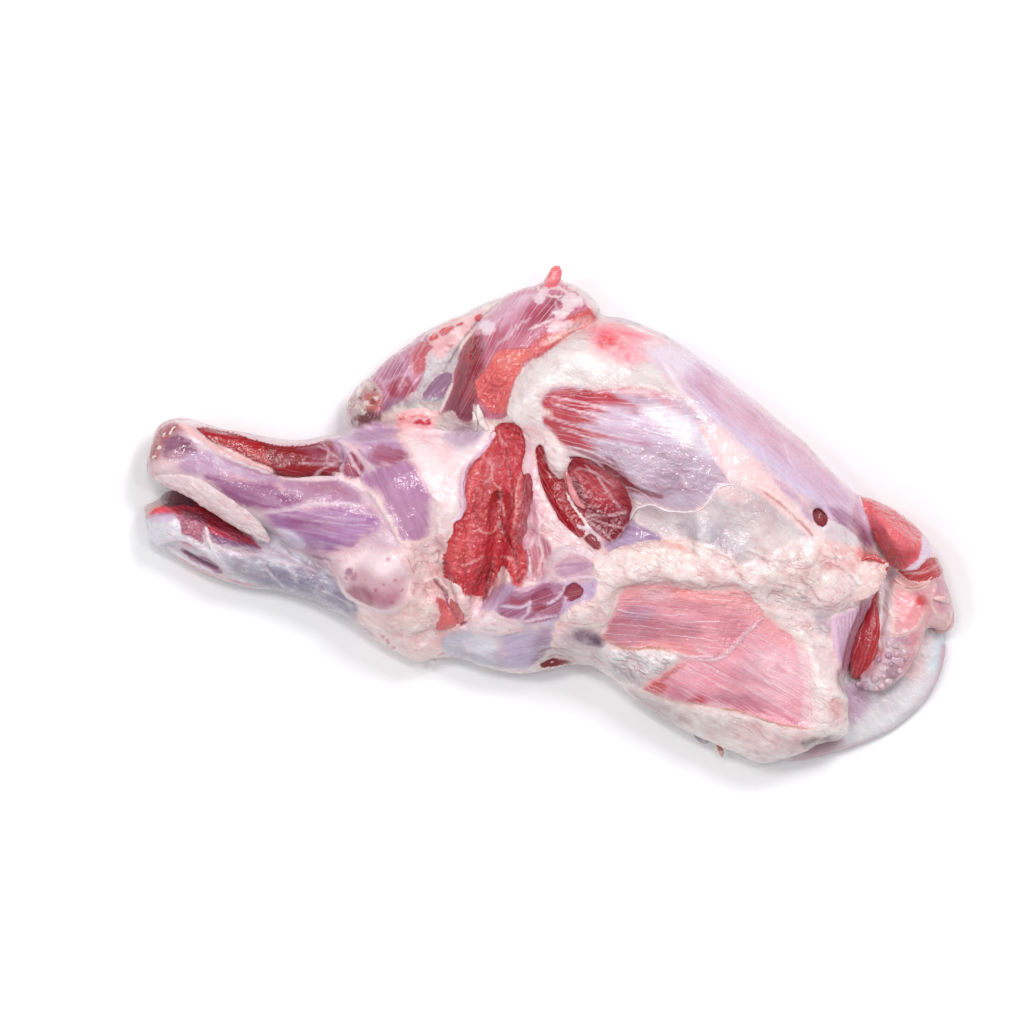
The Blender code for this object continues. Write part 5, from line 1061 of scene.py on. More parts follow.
    # fat below and beside it
    p.skin([(34.6, -82.9), (48.1, -87.9), (65.6, -94.4), (95.6, -99.4), (125.6, -107.4), (148.6, -108.9),
        (150.6, -91.9), (148.6, -81.9), (138.6, -61.9), (125.6, -51.9), (107.6, -44.9), (117.6, -53.9),
        (128.6, -63.9), (131.1, -73.9), (132.1, -91.9), (131.6, -103.9), (138.6, -116.9), (110.6, -125.9),
        (75.6, -112.9), (45.6, -94.9)], (246, 233, 231), rise=0.3, lump=0.6)
    p.tint([(45.6, -88.9), (75.6, -97.9), (105.6, -103.9), (105.6, -114.4), (75.6, -109.4), (50.6, -97.9)],
        (226, 214, 211), 0.9, 3.6)
    # greyer along the lower-left edge: painted shade on the side turned from the light
    p.tint([(40.6, -86.9), (57.6, -93.9), (70.6, -102.9), (57.6, -100.9), (43.6, -91.9)], (188, 170, 172),
        0.8, 2.4)
    p.tint([(100.6, -105.9), (125.6, -109.9), (125.6, -117.9), (110.6, -122.9), (98.1, -116.9)],
        (230, 210, 210), 0.9, 3.6)
    p.tint([(140.6, -91.9), (148.6, -93.9), (147.6, -103.9), (141.6, -99.9)], (240, 196, 196), 0.8, 2.4)
    p.tint([(131.6, -64.9), (141.6, -66.9), (143.6, -81.9), (133.6, -77.9)], (242, 222, 222), 0.8, 3.0)
    p.tint([(127.6, -111.9), (146.6, -109.9), (143.6, -113.9), (128.6, -115.9)], (120, 76, 80), 0.8, 1.4)
    # fat tongue
    p.skin([(95.6, -34.4), (90.6, -27.9), (105.6, -21.9), (125.6, -11.9), (136.6, -12.9), (150.6, -15.9),
        (161.6, -18.4), (167.6, -22.9), (164.6, -29.9), (161.6, -35.9), (155.6, -43.9), (147.6, -48.9),
        (141.6, -51.9), (138.6, -61.9), (125.6, -52.9), (107.6, -43.9)], (245, 229, 228), rise=0.4,
        lump=0.8)
    p.tint([(133.6, -13.9), (150.6, -15.9), (160.6, -21.9), (150.6, -27.9), (136.6, -22.9)],
        (244, 200, 196), 0.85, 3.6)
    p.tint([(105.6, -26.9), (125.6, -19.9), (140.6, -31.9), (125.6, -39.9), (110.6, -36.9)],
        (230, 210, 204), 0.7, 4.0)
    p.tint([(153.6, -16.9), (161.6, -18.4), (167.6, -22.4), (165.6, -27.9), (159.6, -23.4), (153.6, -20.4)],
        (250, 170, 166), 0.85, 1.8, rise=0.4)
    p.tint([(133.1, -47.9), (141.6, -50.9), (140.6, -58.9), (133.6, -56.9)], (206, 190, 200), 0.8, 2.4)
    # each fold: a sunk darker line, painted shade, and a raised paler line towards the upper right, painted
    # light
    for path in ([(115.6, -34.4), (123.6, -36.9), (128.6, -41.9)],
            [(125.6, -30.9), (131.6, -36.9), (135.6, -42.9)],
            [(105.6, -21.9), (115.6, -22.9), (125.6, -21.9)],
            [(143.6, -24.9), (150.6, -29.9), (155.6, -36.9)],
            [(135.6, -19.9), (145.6, -21.9), (151.6, -19.9)],
            [(98.1, -17.9), (108.1, -21.9), (115.6, -27.9)], [(78.6, -15.9), (90.6, -22.9), (96.6, -31.9)]):
        p.stroke(path, 1.2, (206, 176, 176), 0.6, rise=-0.9, ragged=(1.2, 4.0))
        p.stroke([(x + 0.9, y + 1.1) for x, y in path], 1.2, (250, 236, 234), 0.6, rise=0.6,
            ragged=(1.2, 4.0))


def paint_end(p):
    p.muscle([(141.6, -50.9), (148.6, -47.9), (156.6, -43.4), (161.1, -35.9), (165.1, -31.9),
        (165.1, -41.9), (157.6, -57.9), (155.6, -66.9), (152.1, -77.9), (149.1, -82.4), (144.6, -75.4),
        (142.1, -63.9)], (234, 201, 221), (148.6, -111.9, 42.0), 0.3, 0.5, film=0.2, sink=-1.0, soft=0.7,
        melt=0.4)
    ends = (143.1, -51.9), (162.1, -41.4), (146.1, -76.9), (150.6, -75.9)
    for share in np.linspace(0.04, 0.96, 10):
        path = [tuple(np.array(ends[i]) * (1 - share) + np.array(ends[i + 1]) * share) for i in (0, 2)]
        p.stroke(path, 1.0, (172, 120, 152), 0.6, soft=0.5, taper=0.3, ragged=(0.6, 5.0))
    p.muscle([(164.1, -35.9), (165.1, -43.9), (164.6, -61.9), (162.1, -69.9), (156.6, -77.9),
        (151.6, -83.4), (149.1, -77.9), (150.6, -66.9), (153.1, -59.9), (155.6, -52.9), (160.6, -43.4)],
        (186, 50, 58), (72,), 0.7, 0.3, crag=0.4, sink=0.4, soft=0.5)
    p.tint([(157.6, -52.9), (161.6, -47.9), (161.6, -61.9), (157.6, -71.9), (154.6, -72.9)], (158, 44, 52),
        0.7, 1.4, "lean")
    p.tint([(159.6, -61.9), (163.6, -64.4), (161.6, -70.9), (156.6, -73.9)], (206, 90, 88), 0.8, 1.4,
        "lean", crag=0.6)
    p.tint([(150.6, -83.9), (151.6, -77.9), (155.6, -78.9), (153.6, -82.9)], (94, 30, 34), 0.8, 1.0, "lean")
    # pale films and jelly
    p.skin([(165.6, -26.9), (173.6, -24.4), (185.6, -29.9), (196.6, -31.9), (200.6, -43.9), (197.6, -52.9),
        (190.6, -58.9), (182.6, -71.9), (173.6, -85.9), (160.6, -88.9), (150.6, -84.9), (156.6, -77.9),
        (163.6, -66.9), (165.1, -46.9)], (234, 186, 192), rise=0.1, lump=0.4)
    p.tint([(164.6, -28.9), (169.6, -29.9), (172.1, -41.9), (171.6, -56.9), (166.6, -65.9), (164.1, -61.9),
        (165.1, -44.9)], (255, 255, 255), 1.0, 2.0, rise=1.4)
    p.tint([(169.6, -57.9), (177.6, -58.9), (181.6, -62.9), (179.6, -73.9), (173.6, -83.9), (162.6, -87.9),
        (152.6, -85.9), (153.6, -81.9), (161.6, -75.9), (167.6, -67.9)], (216, 186, 196), 0.95, 2.0)
    p.tint([(167.6, -73.9), (175.6, -73.9), (173.6, -81.9), (167.6, -81.9)], (176, 140, 156), 0.7, 2.0)
    p.tint([(172.1, -61.9), (178.6, -61.9), (177.6, -69.9), (171.6, -69.9)], (186, 150, 166), 0.7, 2.0)
    p.tint([(153.6, -81.9), (161.6, -79.9), (165.6, -84.9), (158.6, -87.9)], (212, 206, 216), 0.8, 1.8)
    p.tint([(173.6, -36.9), (184.6, -36.9), (188.6, -43.9), (183.6, -54.9), (175.6, -53.9)],
        (243, 178, 182), 0.9, 3.0)
    p.spot((186.1, -42.4), 4.6, (220, 78, 84), 0.9, hard=0.2)
    p.tint([(173.6, -26.9), (183.6, -29.9), (190.6, -33.9), (181.6, -36.9), (173.6, -34.9)],
        (244, 200, 194), 0.8, 2.4)
    p.tint([(167.6, -25.9), (172.6, -24.9), (175.6, -28.9), (171.6, -31.9), (167.6, -30.9)],
        (206, 200, 206), 0.9, 1.4)
    for path in ([(173.6, -31.9), (179.6, -36.9), (186.6, -35.9), (193.6, -29.9), (197.6, -25.9)],
            [(170.6, -59.9), (177.6, -58.9), (183.6, -55.9), (187.6, -47.9)],
            [(167.6, -43.9), (172.6, -51.9), (171.6, -59.9)],
            [(193.6, -34.9), (191.6, -43.9), (194.6, -50.9)]):
        p.stroke(path, 1.2, (244, 214, 206), 0.85, rise=0.6)
    p.tint([(178.6, -61.9), (183.6, -59.9), (182.6, -71.9), (175.6, -81.9), (174.6, -77.9)],
        (222, 158, 168), 0.8, 1.8)
    p.tint([(190.6, -24.9), (197.6, -27.9), (200.6, -41.9), (199.6, -48.9), (194.6, -45.9), (191.6, -34.9)],
        (222, 172, 186), 0.9, 2.0)
    p.tint([(187.6, -55.9), (195.6, -49.9), (200.6, -48.9), (200.6, -56.9), (195.6, -58.9)],
        (236, 200, 200), 0.9, 1.8)
    # roll
    p.muscle([(155.6, 11.1), (163.6, 11.6), (174.6, 8.1), (183.6, 2.1), (189.6, -5.9), (188.6, -14.9),
        (184.6, -21.9), (178.6, -26.4), (171.6, -24.9), (166.6, -17.9), (161.6, -8.9), (159.1, 1.1)],
        (230, 118, 126), (-48,), 0.1, 0.0, crag=0.4, sink=-0.3, soft=0.6)
    p.lump += 0.7 * smooth_step(p.depth([(159.6, 6.1), (170.6, 4.1), (184.6, -8.9), (184.6, -19.9),
        (175.6, -22.9), (165.6, -11.9)]), -2, 2)
    p.tint([(157.6, 8.1), (168.6, 5.6), (180.6, -1.9), (186.6, -9.9), (178.6, -5.9), (165.6, 1.1)],
        (214, 98, 106), 0.7, 2.4, "lean")
    p.tint([(165.6, -11.9), (175.6, -15.9), (183.6, -17.9), (177.6, -24.9), (169.6, -21.9)], (194, 74, 82),
        0.8, 2.6, "lean")
    p.tint([(161.6, -6.9), (165.6, -14.9), (169.6, -22.9), (165.6, -18.9), (160.6, -9.9)], (110, 24, 32),
        0.85, 1.4)
    p.skin([(186.1, -10.4), (189.6, -11.9), (191.6, -15.9), (188.6, -21.9), (182.6, -26.9), (177.6, -27.4),
        (183.6, -21.9), (186.1, -15.9)], (234, 214, 232), rise=0.3, lump=0.1)
    p.muscle([(174.6, -26.9), (183.6, -26.9), (190.6, -20.9), (195.6, -21.9), (198.1, -27.9),
        (190.6, -31.9), (181.6, -32.4)], (200, 80, 84), (24,), 0.6, 0.3, crag=0.2, sink=0.2, soft=0.5)
    p.stroke([(177.6, -26.9), (183.6, -24.9), (188.6, -19.9)], 1.0, (240, 222, 226), 0.8, rise=0.4)
    p.stroke([(178.6, -28.9), (188.6, -27.9), (196.6, -22.9)], 0.9, (236, 200, 204), 0.7)


def paint_meat(p):
    paint_outside(p)
    paint_plain_fat(p)
    paint_shank(p)
    paint_neck(p)
    paint_joint(p)
    paint_cut(p)
    paint_lower(p)
    paint_end(p)


def paint_cartilage(p):
    p.tint([(148.6, -82.9), (158.6, -86.9), (159.6, -95.9), (153.6, -102.9), (148.6, -99.9)],
        (212, 182, 204), 0.9, 3.0)
    p.tint([(192.6, -57.9), (198.6, -61.9), (197.6, -73.9), (191.6, -76.9), (188.6, -66.9)],
        (210, 220, 228), 0.8, 3.0)
    p.tint([(178.6, -66.9), (188.6, -58.9), (192.6, -61.9), (186.6, -76.9), (177.6, -86.9)],
        (238, 218, 218), 0.7, 3.0)
    p.tint([(165.6, -86.9), (178.1, -79.9), (181.6, -86.9), (170.6, -97.9), (161.6, -99.9)],
        (212, 208, 212), 0.7, 4.0)
    p.stroke([(197.6, -65.9), (195.6, -79.9), (188.6, -93.4), (176.6, -104.9), (161.6, -112.4),
        (143.6, -117.9), (123.1, -122.4)], 3.0, (218, 176, 186), 0.8, soft=1.6, taper=0)
    p.stroke([(167.6, -102.9), (171.6, -107.9)], 1.6, (240, 228, 226), 0.8)
    for path in ([(167.6, -91.9), (171.6, -99.9), (172.6, -106.9)],
            [(159.6, -96.9), (165.6, -103.9), (169.6, -108.9)],
            [(182.6, -91.9), (185.6, -94.9), (188.6, -92.9)],
            [(153.6, -100.9), (156.6, -106.9), (154.6, -112.9)]):
        p.stroke(path, 1.0, (240, 230, 232), 0.7, rise=0.2)
    p.tint([(125.6, -113.9), (146.6, -110.9), (144.6, -115.9), (128.6, -118.9)], (196, 164, 176), 0.8, 2.4)


# ---- the materials ----


class Tree:
    """Short calls that build a material's nodes."""

    def __init__(self, name):
        self.material = bpy.data.materials.new(name)
        self.material.use_nodes = True
        self.nodes = self.material.node_tree.nodes
        self.links = self.material.node_tree.links
        self.shader = self.nodes["Principled BSDF"]
        self.place = self.add("ShaderNodeTexCoord").outputs["Object"]

    def feed(self, socket, value):
        if isinstance(value, bpy.types.NodeSocket):
            self.links.new(value, socket)
        else:
            socket.default_value = value

    def add(self, kind, inputs=(), **settings):
        node = self.nodes.new(kind)
        for key, value in settings.items():
            setattr(node, key, value)
        for key, value in dict(inputs).items():
            self.feed(node.inputs[key], value)
        return node

    def math(self, operation, *values, clamp=False):
        node = self.add("ShaderNodeMath", operation=operation, use_clamp=clamp)
        for socket, value in zip(node.inputs, values):
            self.feed(socket, value)
        return node.outputs[0]

    def times(self, *values):
        result = values[0]
        for value in values[1:]:
            result = self.math("MULTIPLY", result, value)
        return result

    def sum(self, *values):
        result = values[0]
        for value in values[1:]:
            result = self.math("ADD", result, value)
        return result

    def step(self, value, low, high):
        inputs = {"Value": value, "From Min": low, "From Max": high}
        return self.add("ShaderNodeMapRange", inputs, interpolation_type="SMOOTHSTEP").outputs["Result"]

    def noise(self, vector, scale, detail=2.0, rough=0.5):
        inputs = {"Vector": vector, "Scale": scale, "Detail": detail, "Roughness": rough}
        return self.add("ShaderNodeTexNoise", inputs).outputs[0]

    def centred(self, value):
        return self.math("SUBTRACT", value, 0.5)

    def mix(self, share, a, b, blend="MIX"):
        node = self.add("ShaderNodeMix", data_type="RGBA", blend_type=blend)
        for socket, value in zip((node.inputs[0], node.inputs[6], node.inputs[7]), (share, a, b)):
            self.feed(socket, value)
        return node.outputs[2]

    def lighten(self, share, colour, light):
        return self.mix(share, colour, rgba(*light))

    def darken(self, share, colour, shade):
        return self.mix(share, colour, self.mix(1.0, colour, rgba(*shade), "MULTIPLY"))

    def vector(self, *values):
        return self.add("ShaderNodeCombineXYZ", dict(zip("XYZ", values))).outputs[0]

    def split(self, name):
        source = self.add("ShaderNodeAttribute", attribute_name=name).outputs["Vector"]
        return self.add("ShaderNodeSeparateXYZ", {0: source}).outputs

    def painted(self, name):
        return self.add("ShaderNodeAttribute", attribute_name=name).outputs["Color"]

    def finish(self, colour, roughness, height, settings):
        bump = self.add("ShaderNodeBump", {"Height": height, "Distance": MILLIMETRE, "Strength": 1.0})
        self.feed(self.shader.inputs["Normal"], bump.outputs[0])
        self.feed(self.shader.inputs["Coat Normal"], bump.outputs[0])
        self.feed(self.shader.inputs["Base Color"], colour)
        self.feed(self.shader.inputs["Roughness"], roughness)
        for key, value in settings.items():
            self.shader.inputs[key].default_value = value
        return self.material


def rgba(*colour):
    return (*tone(*colour), 1.0)


def flesh(name, settings, wrinkled=1.0):
    """Muscle and fat in one shader that follows the painted attributes.

    wrinkled scales the fat's wrinkles.
    """
    t = Tree(name)
    cover, film, crag = t.split("marks")
    across, along, fibre = t.split("strand")
    lines, lump, melt = t.split("extra")
    bare, fatty = t.painted("tone_lean"), t.painted("tone_fat")

    # noises along the fibres of the muscle
    wave = t.centred(t.noise(t.place, 42.0, 2.0))
    curl = t.centred(t.noise(t.place, 150.0, 2.0))
    across = t.sum(across, t.times(wave, 2.6), t.times(curl, t.sum(0.6, t.times(crag, 4.0))))
    thread = t.noise(t.vector(t.times(across, 1.5), t.times(along, 0.08), 0.0), 1.0, 2.0, 0.6)
    drift = t.noise(t.vector(t.times(across, 0.16), t.times(along, 0.014), 5.0), 1.0, 1.0, 0.5)
    bundle = t.math("PINGPONG", t.sum(t.times(across, 0.5), t.times(drift, 3.4)), 0.5)
    fading = t.noise(t.vector(t.times(across, 0.5), t.times(along, 0.04), 21.0), 1.0, 1.0, 0.5)
    streak = t.noise(t.vector(t.times(across, 0.42), t.times(along, 0.05), 9.0), 1.0, 3.0, 0.6)
    swell = t.noise(t.vector(t.times(across, 0.11), t.times(along, 0.035), 3.0), 1.0, 2.0, 0.5)
    # noises of the surface, and the folds of the fat
    rough_cut = t.noise(t.place, 330.0, 4.0, 0.6)
    grit = t.noise(t.place, 800.0, 1.0, 0.5)
    beads = t.noise(t.place, 400.0, 1.0, 0.4)
    turned = t.add("ShaderNodeMapping", {"Vector": t.place, "Rotation": (0, 0, math.radians(-30)),
        "Scale": (2.6, 1.0, 1.0)}, vector_type="TEXTURE").outputs[0]
    folds = t.noise(turned, 150.0, 3.0, 0.5)
    creases = t.times(t.step(t.math("ABSOLUTE", t.centred(folds)), 0.045, 0.0),
                      t.step(t.noise(t.place, 80.0, 1.0), 0.4, 0.6), t.sum(0.25, t.times(lump, 0.75)))
    wrinkles = t.noise(turned, 620.0, 2.0, 0.5)
    wrinkle_shading = t.times(t.sum(0.1, t.times(lump, 0.25)), wrinkled)
    wide = t.noise(t.place, 70.0, 3.0, 0.55)
    fine = t.noise(t.place, 190.0, 2.0, 0.45)

    # where the fat lies: a ragged edge, or a skin that thins out
    ragged = t.times(t.centred(grit), 1.3)
    wisps = t.times(t.centred(t.sum(t.times(streak, 0.6), t.times(wide, 0.4))), melt, 4.5)
    edge = t.math("DIVIDE", t.sum(cover, ragged, wisps), t.sum(melt, 0.22))
    covered = t.step(edge, -1.0, 1.0)
    uncovered = t.math("SUBTRACT", 1.0, covered)

    # muscle
    seam = t.times(t.step(bundle, 0.13, 0.02), lines, t.step(fading, 0.34, 0.58))
    bundled = t.sum(fibre, 0.2)
    lean = t.darken(t.times(t.step(swell, 0.5, 0.3), bundled, 0.6), bare, (222, 184, 200))
    lean = t.lighten(t.times(t.step(swell, 0.52, 0.72), bundled, 0.16), lean, (236, 206, 220))
    lean = t.darken(t.times(t.step(thread, 0.5, 0.28), fibre, 0.6), lean, (214, 176, 188))
    lean = t.lighten(t.times(t.step(thread, 0.56, 0.78), fibre, 0.22), lean, (238, 200, 210))
    lean = t.darken(t.times(t.step(rough_cut, 0.48, 0.3), crag, 0.5), lean, (214, 168, 172))
    lean = t.lighten(t.times(t.step(rough_cut, 0.55, 0.74), crag, 0.5), lean, (238, 160, 156))
    lean = t.lighten(t.times(seam, 0.85), lean, (240, 216, 224))
    veil = t.times(film, t.step(t.sum(t.times(streak, 0.7), t.times(wide, 0.3)), 0.38, 0.66))
    lean = t.lighten(t.times(veil, 0.55), lean, (236, 226, 240))

    # fat: random tones, then painted shade in hollows and creases and painted light on the tops of bumps
    bump_shading = t.sum(t.times(lump, 0.4), 0.08)
    fat = t.darken(t.times(t.step(wide, 0.52, 0.34), 0.4), fatty, (244, 218, 220))
    fat = t.lighten(t.times(t.step(wide, 0.54, 0.7), 0.3), fat, (250, 242, 239))
    fat = t.darken(t.times(t.step(fine, 0.48, 0.3), bump_shading), fat, (236, 206, 206))
    fat = t.lighten(t.times(t.step(fine, 0.58, 0.74), bump_shading), fat, (252, 248, 244))
    fat = t.darken(t.times(creases, 0.36), fat, (234, 192, 198))
    fat = t.darken(t.times(t.step(wrinkles, 0.44, 0.3), wrinkle_shading), fat, (230, 210, 213))
    fat = t.lighten(t.times(t.step(wrinkles, 0.58, 0.72), wrinkle_shading), fat, (254, 250, 248))
    fat = t.lighten(t.times(t.step(cover, 4.0, 0.4), t.step(wide, 0.4, 0.62), 0.3), fat, (236, 168, 172))

    height = t.sum(
        t.times(t.centred(thread), fibre, uncovered, 0.25),
        t.times(seam, uncovered, 0.2),
        t.math("DIVIDE", t.times(covered, 0.28), t.sum(1.0, t.times(melt, 3.0))),
        t.times(t.centred(beads), t.sum(t.times(crag, 1.9), 0.25)),
        t.times(t.centred(fine), covered, t.sum(t.times(lump, 0.5), 0.3)),
        t.times(t.centred(folds), covered, t.sum(t.times(lump, 1.6), 0.3), wrinkled),
        t.times(creases, covered, -0.3),
        t.times(t.centred(wrinkles), covered, t.sum(t.times(lump, 0.34), 0.06), wrinkled),
        t.times(t.centred(grit), 0.08),
        t.times(t.noise(t.place, 120.0, 1.0), 0.7),
    )
    sheen = t.sum(0.16, t.times(t.noise(t.place, 260.0, 3.0), 0.26), t.times(covered, 0.08))
    t.feed(t.shader.inputs["Coat Roughness"], t.sum(0.05, t.times(covered, 0.1), t.times(fine, 0.06)))
    return t.finish(t.mix(covered, lean, fat), sheen, height, settings)


def floor_material():
    material = bpy.data.materials.new("pale_floor")
    material.use_nodes = True
    shader = material.node_tree.nodes["Principled BSDF"]
    shader.inputs["Base Color"].default_value = rgba(251, 251, 252)
    shader.inputs["Roughness"].default_value = 0.9
    return material


# ---- the pieces ----


def dress(mesh, material, lean, fat, marks, strand, extra):
    """Hands the painted values over to the mesh."""
    write_attribute(mesh, "tone_lean", np.clip(lean, 0, 1))
    write_attribute(mesh, "tone_fat", np.clip(fat, 0, 1))
    for name, columns in (("marks", marks), ("strand", strand), ("extra", extra)):
        write_attribute(mesh, name, np.stack(columns, axis=1))
    mesh.polygons.foreach_set("use_smooth", np.ones(len(mesh.polygons), bool))
    mesh.materials.clear()
    mesh.materials.append(material)
    mesh.update()


def raise_relief(paint):
    """The points, raised as painted, with lumps in the fat and torn fibres in rough muscle."""
    turn = math.radians(FOLD_TURN)
    c, s = math.cos(turn), math.sin(turn)
    wide, long, high = FOLD_SQUEEZE
    folded = paint.points @ np.array([[c * wide, -s * long, 0], [s * wide, c * long, 0], [0, 0, high]])
    small, large = layered_noise(folded, 7.0, 2, 11), layered_noise(folded, 15.0, 2, 17)
    lumps = 1.5 * (np.hypot(small, 0.08) - 0.2) + 3.2 * (np.hypot(large, 0.07) - 0.22)
    lumpy = np.clip(paint.lump, 0, 1)
    # painted shade darkens the fat in the hollows of its lumps, and painted light makes it paler on their
    # ridges
    hollow, ridge = smooth_step(-lumps, -0.05, 0.5) * lumpy, smooth_step(lumps, 0.1, 1.0) * lumpy
    paint.fat *= 1 - np.outer(hollow, (0.05, 0.14, 0.12))
    paint.colour(0.3 * ridge, LIT_RIDGE_FAT, "fat")
    torn = layered_noise(paint.points, 8.0, 3, 23) * 1.5
    bare = smooth_step(-paint.cover, -0.6, 0.6)
    rise = paint.rise + paint.lump * lumps + paint.crag * torn * bare
    rise *= smooth_step(paint.normals[:, 2], -0.9, 0.1)
    points = paint.points + paint.normals * np.clip(rise, -MOST_RISE, MOST_RISE)[:, None]
    points[:, 2] = np.maximum(points[:, 2], 0.0)
    return points


def finish_piece(obj, paint, node, material):
    points = raise_relief(paint)
    obj.data.vertices.foreach_set("co", (points * MILLIMETRE).astype(np.float32).ravel())
    dress(obj.data, material, paint.lean, paint.fat,
          (np.clip(paint.cover, -COVERED, COVERED), paint.film, paint.crag),
          (paint.across, paint.along, paint.fibre), (paint.lines, paint.lump, paint.melt))
    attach(obj, "root")
    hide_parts(node)
    return points


def meat():
    obj = fine_copy("shoulder_meat", "shoulder_flesh", MEAT_VOXEL, MEAT_SOFTEN, MEAT_TRIANGLES)
    paint = Paint(obj, MAUVE, CREAM)
    paint_meat(paint)
    material = flesh("raw_lamb", {
        "Subsurface Weight": 0.15, "Subsurface Radius": (1.0, 0.4, 0.3), "Subsurface Scale": 0.0018,
        "Coat Weight": 1.0, "Coat IOR": 1.4, "IOR": 1.45, "Specular IOR Level": 0.25})
    return finish_piece(obj, paint, "shoulder_meat", material), material


def cartilage():
    obj = fine_copy("blade_cartilage", "blade_gristle", CARTILAGE_VOXEL, CARTILAGE_SOFTEN)
    paint = Paint(obj, GRISTLE, GRISTLE)
    paint_cartilage(paint)
    material = flesh("gristle", {
        "Subsurface Weight": 0.25, "Subsurface Radius": (0.9, 0.7, 0.7), "Subsurface Scale": 0.003,
        "Coat Weight": 0.4, "IOR": 1.4}, wrinkled=0.2)
    return finish_piece(obj, paint, "blade_cartilage", material)


class Shreds:
    """Torn skins, threads and small lumps that lie on the flesh, gathered into one piece."""

    def __init__(self, ground):
        self.ground = ground
        self.points, self.faces, self.colours, self.bare, self.runs = [], [], [], [], []

    def height(self, x, y, reach=1.5):
        near = np.hypot(self.ground[:, 0] - x, self.ground[:, 1] - y) < reach
        return self.ground[near, 2].max() if near.any() else 0.0

    def add(self, stations, colour, bare=False, sides=10, ragged=0.25, tilt=0.0):
        """Stations are x, y, the height over the flesh, half the width and half the thickness.

        A sixth number stands for a height over the floor instead. tilt raises the left side of the run.
        """
        rows = []
        for x, y, lift, half, thick, *fixed in stations:
            rows.append((x, y, fixed[0] if fixed else self.height(x, y) + lift, half, thick))
        curve = smooth_curve(rows)
        run = np.gradient(curve[:, :2], axis=0)
        run /= np.maximum(np.linalg.norm(run, axis=1), 1e-6)[:, None]
        first = len(self.points)
        along = np.concatenate([[0], np.cumsum(np.linalg.norm(np.diff(curve[:, :2], axis=0), axis=1))])
        for (x, y, z, half, thick), (dx, dy), far in zip(curve, run, along):
            for i in range(sides):
                a = 2 * math.pi * i / sides
                side, up = math.cos(a) * max(half, 0.05), math.sin(a) * max(thick, 0.05)
                self.points.append((x - dy * side, y + dx * side, z + up + side * tilt))
                self.runs.append((side, far))
        rings = len(curve)
        for i in range(rings - 1):
            for j in range(sides):
                a, b = first + i * sides + j, first + i * sides + (j + 1) % sides
                self.faces.append((a, b, b + sides, a + sides))
        self.faces.append(tuple(first + j for j in reversed(range(sides))))
        self.faces.append(tuple(first + (rings - 1) * sides + j for j in range(sides)))
        count = rings * sides
        new = np.array(self.points[first:])
        shift = np.stack([layered_noise(new, 3.0, 2, seed) for seed in (41, 47, 53)], axis=1) * ragged * 2
        self.points[first:] = [tuple(row) for row in new + shift]
        self.colours += [tone(*colour)] * count
        self.bare += [bare] * count

    def bead(self, x, y, radius, colour):
        z = self.height(x, y) - 0.65 * radius
        steps = [-1.0, -0.8, -0.4, 0.0, 0.4, 0.8, 1.0]
        self.add([(x + radius * t, y, 0, radius * math.sqrt(1 - t * t), radius * math.sqrt(1 - t * t), z)
            for t in steps], colour, sides=12, ragged=0.5)

    def finish(self, name, material):
        mesh = bpy.data.meshes.new(name)
        points = np.array(self.points)
        points[:, 2] = np.maximum(points[:, 2], 0.0)
        mesh.from_pydata((points * MILLIMETRE).tolist(), [], self.faces)
        obj = bpy.data.objects.new(name, mesh)
        bpy.context.scene.collection.objects.link(obj)
        bare, none = np.array(self.bare, float), np.zeros(len(points))
        side, along = np.array(self.runs).T
        colours = np.array(self.colours)
        dress(mesh, material, colours, colours, (COVERED * (1 - 2 * bare), 0.1 * bare, 0.3 * bare),
              (side, along, 0.6 * bare), (0.3 * bare, none + 0.4, none))
        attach(obj, "root")


